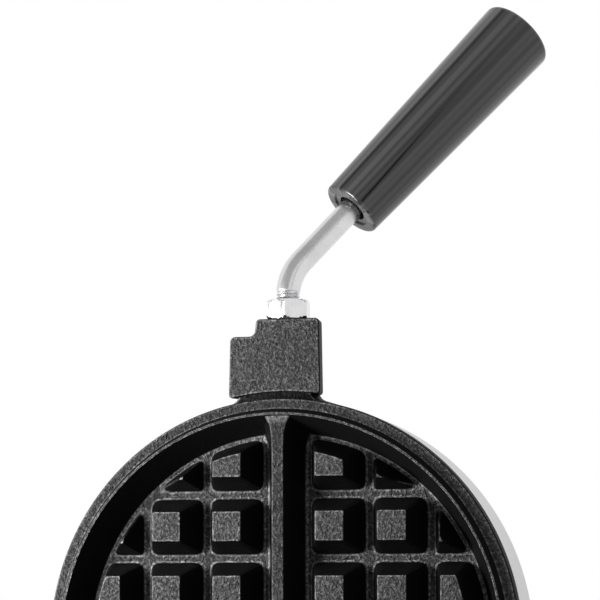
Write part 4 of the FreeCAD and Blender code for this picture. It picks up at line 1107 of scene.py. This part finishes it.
def add_knuckle(shell, place):
    """Hinge arm of the lid."""
    s = lug()
    reach = plate().hinge_offset
    rise = plate().parting_gap / 2
    face = -plate().lip_height - 0.0002
    back = -plate().lip_height - plate().flange_thickness
    radius = s.knuckle_radius
    root = plate().cavity_radius + plate().lip_width
    outline = [(root, back, 0.0), (reach - HINGE_HEEL, back, 0.0),
               (reach - HINGE_HEEL, rise - s.knuckle_back, 0.002),
               (reach + 0.002, rise - s.knuckle_back, 0.003), (reach + radius, rise - 0.010, 0.003)]
    outline += arc_points(reach, rise, radius, range(0, 181, 15))
    outline += [(reach - radius, face, 0.0), (root, face, 0.0)]
    frame_of_arm = side_frame(place, -s.knuckle_width / 2)
    slab(shell, outline, 0, s.knuckle_width, HINGE_EDGE, HINGE_EDGE, frame_of_arm)


def add_ears(shell, place):
    """Pair of hinge ears of the lower plate, with bosses for the hinge pin and the stop pin."""
    s = lug()
    reach = plate().hinge_offset
    rise = plate().parting_gap / 2
    face = -plate().lip_height - 0.0002
    back = -plate().lip_height - plate().flange_thickness
    way = Vector((math.cos(s.stop_lift), math.sin(s.stop_lift)))
    lean = math.degrees(s.stop_lift)
    stop = Vector((reach, rise)) + way * s.stop_reach
    tip = arc_points(stop.x, stop.y, s.stop_boss, range(-90, 91, 15), lean)
    crown = arc_points(reach, rise, s.ear_radius, range(60, 170, 15), lean)
    heel = arc_points(reach, rise, s.ear_radius, range(-105, -59, 15), lean)
    inside = s.knuckle_width / 2 + s.ear_gap
    root = math.sqrt((plate().cavity_radius + plate().lip_width) ** 2 - inside ** 2)
    outline = [(root, back, 0.0), (reach - HINGE_HEEL, back, 0.0),
               (reach - HINGE_HEEL, rise - s.ear_depth - 0.004, 0.002)] + heel + tip + crown
    outline += [(reach - 0.0135, face, 0.0), (root, face, 0.0)]
    for start in (-inside - s.ear_thickness, inside):
        slab(shell, outline, 0, s.ear_thickness, HINGE_EDGE, HINGE_EDGE, side_frame(place, start))


class WAFFLE_OT_grid_plates(bpy.types.Operator):
    """Casts the upper and lower grid plates with rounded studs, cross dividers, rim, lug and hinge arms"""
    bl_idname = "waffle.grid_plates"
    bl_label = "Grid Plates"

    def execute(self, context):
        for name, place, body, node in (
                ("upper_plate_casting", upper_frame(), "lid", "upper_grid_plate"),
                ("lower_plate_casting", lower_frame(), "base", "lower_grid_plate")):
            shell = Shell()
            add_dish(shell, place)
            add_studs(shell, place)
            add_dividers(shell, place)
            if body == "lid":
                add_lug(shell, place)
                add_knuckle(shell, place)
            else:
                add_ears(shell, place)
            made = finish_mesh(name, shell, cast_black(), 40.0)
            mark_faces(made, place, body == "lid")
            settle(made, body, "cast_black", node)
        return {"FINISHED"}


def rod_path():
    """Function from distance along the rod, counted from the lug's top, to centre and direction."""
    s = handle()
    start = s.corner_rise - s.bend_radius * math.tan(s.bend_angle / 2)
    arc = s.bend_radius * s.bend_angle

    def at(distance):
        if distance <= start:
            return Vector((0, 0, distance)), Vector((0, 0, 1))
        turn = min((distance - start) / s.bend_radius, s.bend_angle)
        way = Vector((math.sin(turn), 0, math.cos(turn)))
        spot = Vector((s.bend_radius * (1 - math.cos(turn)), 0, start + s.bend_radius * math.sin(turn)))
        return spot + way * max(distance - start - arc, 0), way

    return at, start + arc


class WAFFLE_OT_handle(bpy.types.Operator):
    """Makes the bent rod with its thread, the lock nut and the tapered grip"""
    bl_idname = "waffle.handle"
    bl_label = "Handle"

    def execute(self, context):
        self.rod()
        self.nut()
        self.grip()
        dress(brass(), "grip_insert")
        return {"FINISHED"}

    def rod(self):
        """Rod swept along its bend; the thread is a helical groove near the nut."""
        s = handle()
        at, bend_end = rod_path()
        depth_in_lug = 0.021
        depth_in_grip = 0.033
        thread_low = 0.006
        thread_depth = 0.0008
        thread_fade = 0.0012
        chamfer = 0.0006
        sides = 64
        across = Vector((0, 1, 0))
        low = -depth_in_lug
        high = bend_end + s.rod_exposed + depth_in_grip
        stations = [low, low + 0.001, thread_low]
        while stations[-1] < s.thread_end + thread_fade:
            stations.append(stations[-1] + s.thread_pitch / 10)
        while stations[-1] < bend_end:
            stations.append(stations[-1] + 0.0008)
        stations += [bend_end + 0.001, bend_end + s.rod_exposed, high - 0.0008, high]
        rings = []
        for distance in stations:
            centre, way = at(distance)
            side = across.cross(way)
            fade = 0.0
            if distance > thread_low:
                fade = min(max((s.thread_end - distance) / thread_fade, 0.0), 1.0)
            ring = []
            for step in range(sides):
                turn = math.tau * step / sides
                phase = (distance / s.thread_pitch - step / sides) % 1.0
                cut = thread_depth * fade * abs(2 * phase - 1) ** 1.3
                radius = s.rod_radius - cut - (chamfer if distance in (low, high) else 0)
                ring.append(centre + side * (radius * math.cos(turn)) + across * (radius * math.sin(turn)))
            rings.append(ring)
        shell = Shell()
        shell.rings(rings, handle_frame())
        settle(finish_mesh("bent_rod", shell, bright_steel(), 50.0), "lid", "bright_steel", "handle_rod")

    def nut(self):
        """Hexagon with turned bevels at both faces and a plain eye for the rod."""
        s = handle()
        count = 96
        eye = s.rod_radius + 0.0001
        under = [(0.0008, None), (0.0, 0.68), (0.0, 0.96), (0.0003, 1.0), (0.0007, 1.06), (0.0012, 1.2)]
        over = [(s.nut_height - height, share) for height, share in reversed(under)]
        rings = []
        for height, share in under + over:
            ring = []
            for step in range(count):
                turn = math.tau * step / count
                flat = s.nut_flats / 2 / math.cos((turn % (math.pi / 3)) - math.pi / 6)
                radius = eye if share is None else min(flat - 0.0001, s.nut_flats / 2 * share)
                ring.append((radius * math.cos(turn), radius * math.sin(turn), height))
            rings.append(ring)
        shell = Shell()
        shell.rings(rings, handle_frame(), first="open", last="loop")
        settle(finish_mesh("lock_nut", shell, plated_steel(), 24.0), "lid", "bright_steel", "handle_lock_nut")

    def grip(self):
        """Tapered moulding with a stepped recess round the rod."""
        s = handle()
        at, bend_end = rod_path()
        mouth = at(bend_end + s.rod_exposed)[0]
        place = handle_frame() @ Matrix.Translation(mouth) @ turned("Y", s.bend_angle)
        profile = fillet([
            (0.0, 0.0062, 0), (s.mouth_radius, 0.0062, 0.0), (s.mouth_radius, 0.0008, 0.0004),
            (s.step_radius, 0.0008, 0.0002), (s.step_radius, 0.0, 0.0004), (s.grip_start, 0.0, 0.0013),
            (s.grip_start + 0.0012, 0.040, 0), (s.grip_end, s.grip_length, 0.0019), (0, s.grip_length, 0)],
            closed=False, steps=7)
        shell = Shell()
        shell.lathe(profile, 160, place)
        made = finish_mesh("tapered_grip", shell, bakelite(), 30.0)
        # Painted reflection streaks: waves round the grip lighten it in bands along its length
        layer = made.data.attributes.new("streak", "FLOAT", "POINT")
        for vertex in made.data.vertices:
            spot = place.inverted() @ vertex.co
            turn = math.atan2(spot.y, spot.x)
            wave = sum(math.sin(count * turn + shift) for count, shift in GRIP_WAVES)
            layer.data[vertex.index].value = min(max(0.5 + 0.3 * wave, 0.0), 1.0)
        settle(made, "lid", "black_bakelite", "handle_grip")


class WAFFLE_OT_covers(bpy.types.Operator):
    """Finishes the sheet covers, the tray and what lies behind the plates"""
    bl_idname = "waffle.covers"
    bl_label = "Covers"

    def execute(self, context):
        dress(stainless(), "upper_cover", "lower_cover", "drip_tray")
        dress(dark_steel(), "upper_heating_element", "lower_heating_element", "upper_element_clamp",
              "lower_element_clamp")
        dress(fibre(), "upper_insulation_pad", "lower_insulation_pad")
        dress(plated_steel(), "upper_clamp_screw", "lower_clamp_screw", "cup_bolts", "cup_spacers")
        dress(rubber(), "lid_lead_grommet", "cup_lead_grommet")
        return {"FINISHED"}


class WAFFLE_OT_hinge(bpy.types.Operator):
    """Finishes the hinge pin, its retaining rings and the lid stop"""
    bl_idname = "waffle.hinge"
    bl_label = "Hinge"

    def execute(self, context):
        dress(bright_steel(), "hinge_pin", "lid_stop_pin")
        dress(dark_steel(), "hinge_retaining_rings")
        return {"FINISHED"}


class WAFFLE_OT_base(bpy.types.Operator):
    """Finishes the base housing, its pan, foot screws, gland and inner pieces"""
    bl_idname = "waffle.base"
    bl_label = "Base"

    def execute(self, context):
        dress(stainless(), "base_housing", "bottom_pan")
        dress(plated_steel(), "foot_screws")
        dress(rubber(), "base_lead_grommet", "lid_lead_inlet")
        dress(black_plastic(), "cable_gland")
        dress(brass(), "gland_lock_nut", "terminal_screws")
        dress(ceramic(), "terminal_block")
        return {"FINISHED"}


class WAFFLE_OT_screws(bpy.types.Operator):
    """Sets cross-recessed screws in the pan's sides and the lid's cover"""
    bl_idname = "waffle.screws"
    bl_label = "Screws"

    def execute(self, context):
        tree = screw_tree()
        straight = Matrix.Identity(4)
        pan = []
        for low, high in solids_of("pan_screws", straight):
            side = 1 if low.x + high.x > 0 else -1
            outer = high.x if side > 0 else low.x
            middle = (low + high) / 2
            pan.append(((outer, middle.y, middle.z), (0, side * math.pi / 2, 0)))
        self.place_set("pan_screw_set", tree, pan, straight, "base", "pan_screws", 0.004, 0.0024, 0.010)
        lid = upper_frame()
        cover = []
        for low, high in solids_of("upper_cover_screws", lid):
            middle = (low + high) / 2
            cover.append(((middle.x, middle.y, low.z), (math.pi, 0, 0)))
        radius = (high.x - low.x) / 2
        self.place_set("cover_screw_set", tree, cover, lid, "lid", "upper_cover_screws",
                       radius, 0.0025, 0.012)
        return {"FINISHED"}

    def place_set(self, name, tree, spots, place, body, node, radius, height, shank):
        """One set of like screws, each given as outer end and turn."""
        mesh = bpy.data.meshes.new(name)
        mesh.from_pydata([spot for spot, turn in spots], [], [])
        turns = mesh.attributes.new("turn", "FLOAT_VECTOR", "POINT")
        for index, (spot, turn) in enumerate(spots):
            turns.data[index].vector = turn
        made = grown(name, tree, mesh, place, {"Head Radius": radius, "Head Height": height, "Shank": shank,
                                               "Finish": plated_steel()})
        settle(made, body, "bright_steel", node)


class WAFFLE_OT_feet(bpy.types.Operator):
    """Moulds the four ribbed feet"""
    bl_idname = "waffle.feet"
    bl_label = "Feet"

    def execute(self, context):
        names = ["foot_front_left", "foot_front_right", "foot_back_left", "foot_back_right"]
        shell = Shell()
        for name in names:
            low, high = solids_of(name, Matrix.Identity(4))[0]
            top = high.z
            profile = [(0.006, 0.0), (0.0112, 0.0), (0.0118, 0.0003), (0.0121, 0.0009)]
            for rib in range(4):
                start = 0.0026 + 0.0034 * rib
                radius = 0.012 + 0.003 * start / top
                waist = radius - 0.0006
                profile += [(radius, start), (waist, start + 0.0004), (waist, start + 0.0012),
                            (radius + 0.0002, start + 0.0016)]
            profile += [(0.0147, top - 0.0006), (0.0142, top), (0.0026, top), (0.0026, top - 0.006),
                        (0.006, top - 0.006)]
            middle = (low + high) / 2
            shell.lathe(profile, 64, shifted(middle.x, middle.y, 0), closed=True)
        settle(finish_mesh("ribbed_feet", shell, rubber(), 30.0), "base", "rubber", *names)
        return {"FINISHED"}


class WAFFLE_OT_controls(bpy.types.Operator):
    """Finishes the panel and makes its knobs, marks, switch and lamps"""
    bl_idname = "waffle.controls"
    bl_label = "Controls"

    def execute(self, context):
        spread = controls().dial_spread
        lamp_spread = 0.016
        self.knob("timer", "timer_dial", -spread)
        self.knob("thermostat", "thermostat_dial", spread)
        self.marks("timer", -spread, math.radians(300), 6)
        self.marks("thermostat", spread, math.radians(270), 6)
        self.lamp("power_lamp", -lamp_spread, red_lens())
        self.lamp("ready_lamp", lamp_spread, green_lens())
        dress(panel_black(), "control_panel")
        dress(grey_case(), "timer_body", "thermostat_body", "power_lamp_body", "ready_lamp_body")
        dress(bright_steel(), "timer_shaft", "thermostat_shaft")
        dress(black_plastic(), "switch_body")
        dress(red_plastic(), "power_rocker")
        return {"FINISHED"}

    def knob(self, name, body, x):
        """Fluted knob on a skirt."""
        s = controls()
        place = panel_frame() @ shifted(x, 0, s.knob_start)
        skirt = s.knob_skirt
        top = s.knob_height
        levels = [(0.0, skirt - 0.0012, 0), (0.0003, skirt - 0.0003, 0), (0.0009, skirt, 0),
                  (s.knob_skirt_height - 0.0006, skirt - 0.0006, 0), (s.knob_skirt_height, skirt - 0.0013, 0),
                  (s.knob_skirt_height + 0.0002, s.knob_radius + 0.0012, 0),
                  (s.knob_skirt_height + 0.0010, s.knob_radius, 0.0003),
                  (s.knob_skirt_height + 0.0020, s.knob_radius - 0.0001, 0.0006),
                  (top - 0.0022, s.knob_top, 0.0006), (top - 0.0010, s.knob_top - 0.0003, 0.0003),
                  (top - 0.0003, s.knob_top - 0.0009, 0), (top, s.knob_top - 0.0018, 0)]
        count = 144
        rings = []
        for height, radius, flute in levels:
            ring = []
            for step in range(count):
                turn = math.tau * step / count
                reach = radius - flute * (0.5 + 0.5 * math.cos(24 * turn)) ** 2
                ring.append((reach * math.cos(turn), reach * math.sin(turn), height))
            rings.append(ring)
        shell = Shell()
        shell.rings(rings, place)
        made = finish_mesh(name + "_fluted_knob", shell, black_plastic(), 32.0)
        settle(made, body, "knob_black", name + "_knob")
        self.pointer(name, body, place)

    def pointer(self, name, body, place):
        """Painted bar on top of a knob."""
        s = controls()
        top = s.knob_height
        half = 0.0008
        near = 0.004
        far = s.knob_top - 0.0018
        corner = 0.0003
        edge = 0.0001
        bar = [(-half, near, corner), (half, near, corner), (half, far, corner), (-half, far, corner)]
        shell = Shell()
        slab(shell, bar, top - 0.0004, top + 0.0003, edge, edge, place)
        settle(finish_mesh(name + "_pointer", shell, mark_paint()), body, "knob_black")

    def marks(self, name, x, sweep, count):
        """Ring of ticks round one dial, with a plain number at each long tick."""
        s = controls()
        number_size = 0.0046
        reach = s.tick_radius + 0.0050
        place = panel_frame() @ shifted(x, 0, s.panel_face + 0.0001)
        tree = tick_tree()
        for kind, ticks, size in (("short", 4 * count - 3, 0.0012), ("long", count, 0.0024)):
            mesh = bpy.data.meshes.new("%s_%s_ticks" % (name, kind))
            made = grown(mesh.name, tree, mesh, place, {"Count": ticks, "Step": -sweep / (ticks - 1),
                                                        "Radius": s.tick_radius, "Length": size,
                                                        "Finish": mark_paint()})
            settle(made, "base", "panel_black")
        for number in range(count):
            turn = sweep * number / (count - 1)
            spot = shifted(reach * math.sin(turn), reach * math.cos(turn), 0)
            self.words("%s_number_%d" % (name, number), str(number), number_size, place @ spot)

    def words(self, name, text, size, place):
        """Plain raised lettering on the panel, turned into a mesh."""
        curve = bpy.data.curves.new(name, "FONT")
        curve.body = text
        curve.size = size
        curve.align_x = "CENTER"
        curve.align_y = "CENTER"
        curve.extrude = 0.00008
        shell = evaluated_shell(bpy.data.objects.new(name + "_curve", curve), place)
        settle(finish_mesh(name, shell, mark_paint()), "base", "panel_black")

    def lamp(self, name, x, material):
        """Domed lens with a seating ring."""
        row_height = 0.017
        place = panel_frame() @ shifted(x, row_height, controls().panel_face)
        shell = Shell()
        seat = [(0.0, -0.003), (0.0049, -0.003), (0.0049, 0.0), (0.0065, 0.0), (0.0065, 0.0004)]
        dome = [(0.0062 * math.cos(turn), 0.0004 + 0.0031 * math.sin(turn))
                for turn in [math.pi / 2 * step / 10 for step in range(11)]]
        shell.lathe(seat + dome, 64, place)
        settle(finish_mesh(name + "_dome", shell, material, 30.0), "base",
               "lens_red" if name == "power_lamp" else "lens_green", name + "_lens")


class WAFFLE_OT_stage(bpy.types.Operator):
    """Sets the floor, the light and the camera"""
    bl_idname = "waffle.stage"
    bl_label = "Stage"

    def execute(self, context):
        self.floor()
        self.cards()
        self.light(context)
        self.camera(context)
        return {"FINISHED"}

    def floor(self):
        """Pale floor that runs out of every view."""
        width = 24.0
        finish_mesh("floor", rectangle(width, width), floor_white())

    def cards(self):
        """Dark and grey cards that only reflections see, so that metal and gloss get their streaks."""
        aim = upper_frame() @ Vector((0, -0.2, 0))
        for name, spot, wide, tall, roll, finish in CARDS:
            facing = (-Vector(spot)).to_track_quat("Z", "Y").to_matrix().to_4x4()
            place = Matrix.Translation(aim + Vector(spot)) @ facing @ turned("Z", math.radians(roll))
            made = finish_mesh(name, rectangle(wide, tall, place), finish())
            made.visible_camera = False
            made.visible_diffuse = False
            made.visible_shadow = False

    def light(self, context):
        """White surroundings for the camera and reflections, a dim even light, and three lamps."""
        scene = context.scene
        scene.view_settings.view_transform = "Standard"
        world = bpy.data.worlds.new("studio")
        world.use_nodes = True
        scene.world = world
        tree = world.node_tree
        rays = tree.nodes.new("ShaderNodeLightPath")
        seen = tree.nodes.new("ShaderNodeMath")
        seen.operation = "MAXIMUM"
        tree.links.new(rays.outputs["Is Camera Ray"], seen.inputs[0])
        tree.links.new(rays.outputs["Is Glossy Ray"], seen.inputs[1])
        clear = tree.nodes.new("ShaderNodeMath")
        clear.operation = "MAXIMUM"
        tree.links.new(seen.outputs[0], clear.inputs[0])
        tree.links.new(rays.outputs["Is Transmission Ray"], clear.inputs[1])
        strength = tree.nodes.new("ShaderNodeMapRange")
        strength.inputs["To Min"].default_value = 0.16
        strength.inputs["To Max"].default_value = 1.0
        tree.links.new(clear.outputs[0], strength.inputs["Value"])
        background = tree.nodes["Background"]
        background.inputs["Color"].default_value = (1, 1, 1, 1)
        tree.links.new(strength.outputs["Result"], background.inputs["Strength"])
        aim = upper_frame() @ Vector((0, -0.06, 0))
        for name, spot, size, watts, reflected in LAMPS:
            data = bpy.data.lights.new(name, "AREA")
            data.size = size
            data.energy = watts
            lamp = bpy.data.objects.new(name, data)
            lamp.location = aim + Vector(spot)
            lamp.rotation_mode = "QUATERNION"
            lamp.rotation_quaternion = (-Vector(spot)).to_track_quat("-Z", "Y")
            lamp.visible_camera = False
            lamp.visible_glossy = reflected
            scene.collection.objects.link(lamp)

    def camera(self, context):
        """Camera of the photograph, solved in the open plate's frame."""
        s = context.scene.waffle_stage
        middle = FRAME_PIXELS / 2
        turn = turned("Z", s.camera_roll) @ turned("X", s.camera_pitch) @ turned("Y", -s.camera_yaw)
        shift = s.camera_distance / s.focal_pixels
        eye = Vector((-(s.plate_pixel_x - middle) * shift, (s.plate_pixel_y - middle) * shift,
                      s.camera_distance))
        seen = (upper_frame() @ shifted(0, 0, -plate().cavity_depth)
                @ Matrix(((-1, 0, 0, 0), (0, -1, 0, 0), (0, 0, 1, 0), (0, 0, 0, 1))))
        data = bpy.data.cameras.new("camera")
        data.sensor_fit = "AUTO"
        data.sensor_width = SENSOR_WIDTH
        data.lens = SENSOR_WIDTH * s.focal_pixels / FRAME_PIXELS
        data.clip_end = 100.0
        made = bpy.data.objects.new("camera", data)
        made.matrix_world = seen @ turn.inverted() @ Matrix.Translation(eye)
        context.scene.collection.objects.link(made)
        context.scene.camera = made


class WAFFLE_PT_panel(bpy.types.Panel):
    """Lists the steps that build the waffle maker"""
    bl_idname = "WAFFLE_PT_panel"
    bl_label = "Waffle Maker"
    bl_space_type = "VIEW_3D"
    bl_region_type = "UI"
    bl_category = "Waffle"

    def draw(self, context):
        for step in STEPS:
            self.layout.operator(step.bl_idname)


STEPS = (WAFFLE_OT_grid_plates, WAFFLE_OT_handle, WAFFLE_OT_covers, WAFFLE_OT_hinge, WAFFLE_OT_base,
         WAFFLE_OT_screws, WAFFLE_OT_feet, WAFFLE_OT_controls, WAFFLE_OT_stage)
GROUPS = (("waffle_plate", PlateSizes), ("waffle_lug", LugSizes), ("waffle_handle", HandleSizes),
          ("waffle_controls", ControlSizes), ("waffle_finishes", Finishes), ("waffle_stage", StageSizes))


def register():
    """Registers the property groups, the steps and the panel."""
    for name, group in GROUPS:
        bpy.utils.register_class(group)
        setattr(bpy.types.Scene, name, bpy.props.PointerProperty(type=group))
    for step in STEPS:
        bpy.utils.register_class(step)
    bpy.utils.register_class(WAFFLE_PT_panel)


def unregister():
    """Takes everything back in reverse order."""
    bpy.utils.unregister_class(WAFFLE_PT_panel)
    for step in reversed(STEPS):
        bpy.utils.unregister_class(step)
    for name, group in reversed(GROUPS):
        delattr(bpy.types.Scene, name)
        bpy.utils.unregister_class(group)


def main():
    """Registers the classes and builds every piece."""
    register()
    bpy.ops.waffle.grid_plates()
    bpy.ops.waffle.handle()
    bpy.ops.waffle.covers()
    bpy.ops.waffle.hinge()
    bpy.ops.waffle.base()
    bpy.ops.waffle.screws()
    bpy.ops.waffle.feet()
    bpy.ops.waffle.controls()
    bpy.ops.waffle.stage()


if __name__ == "__main__":
    main()
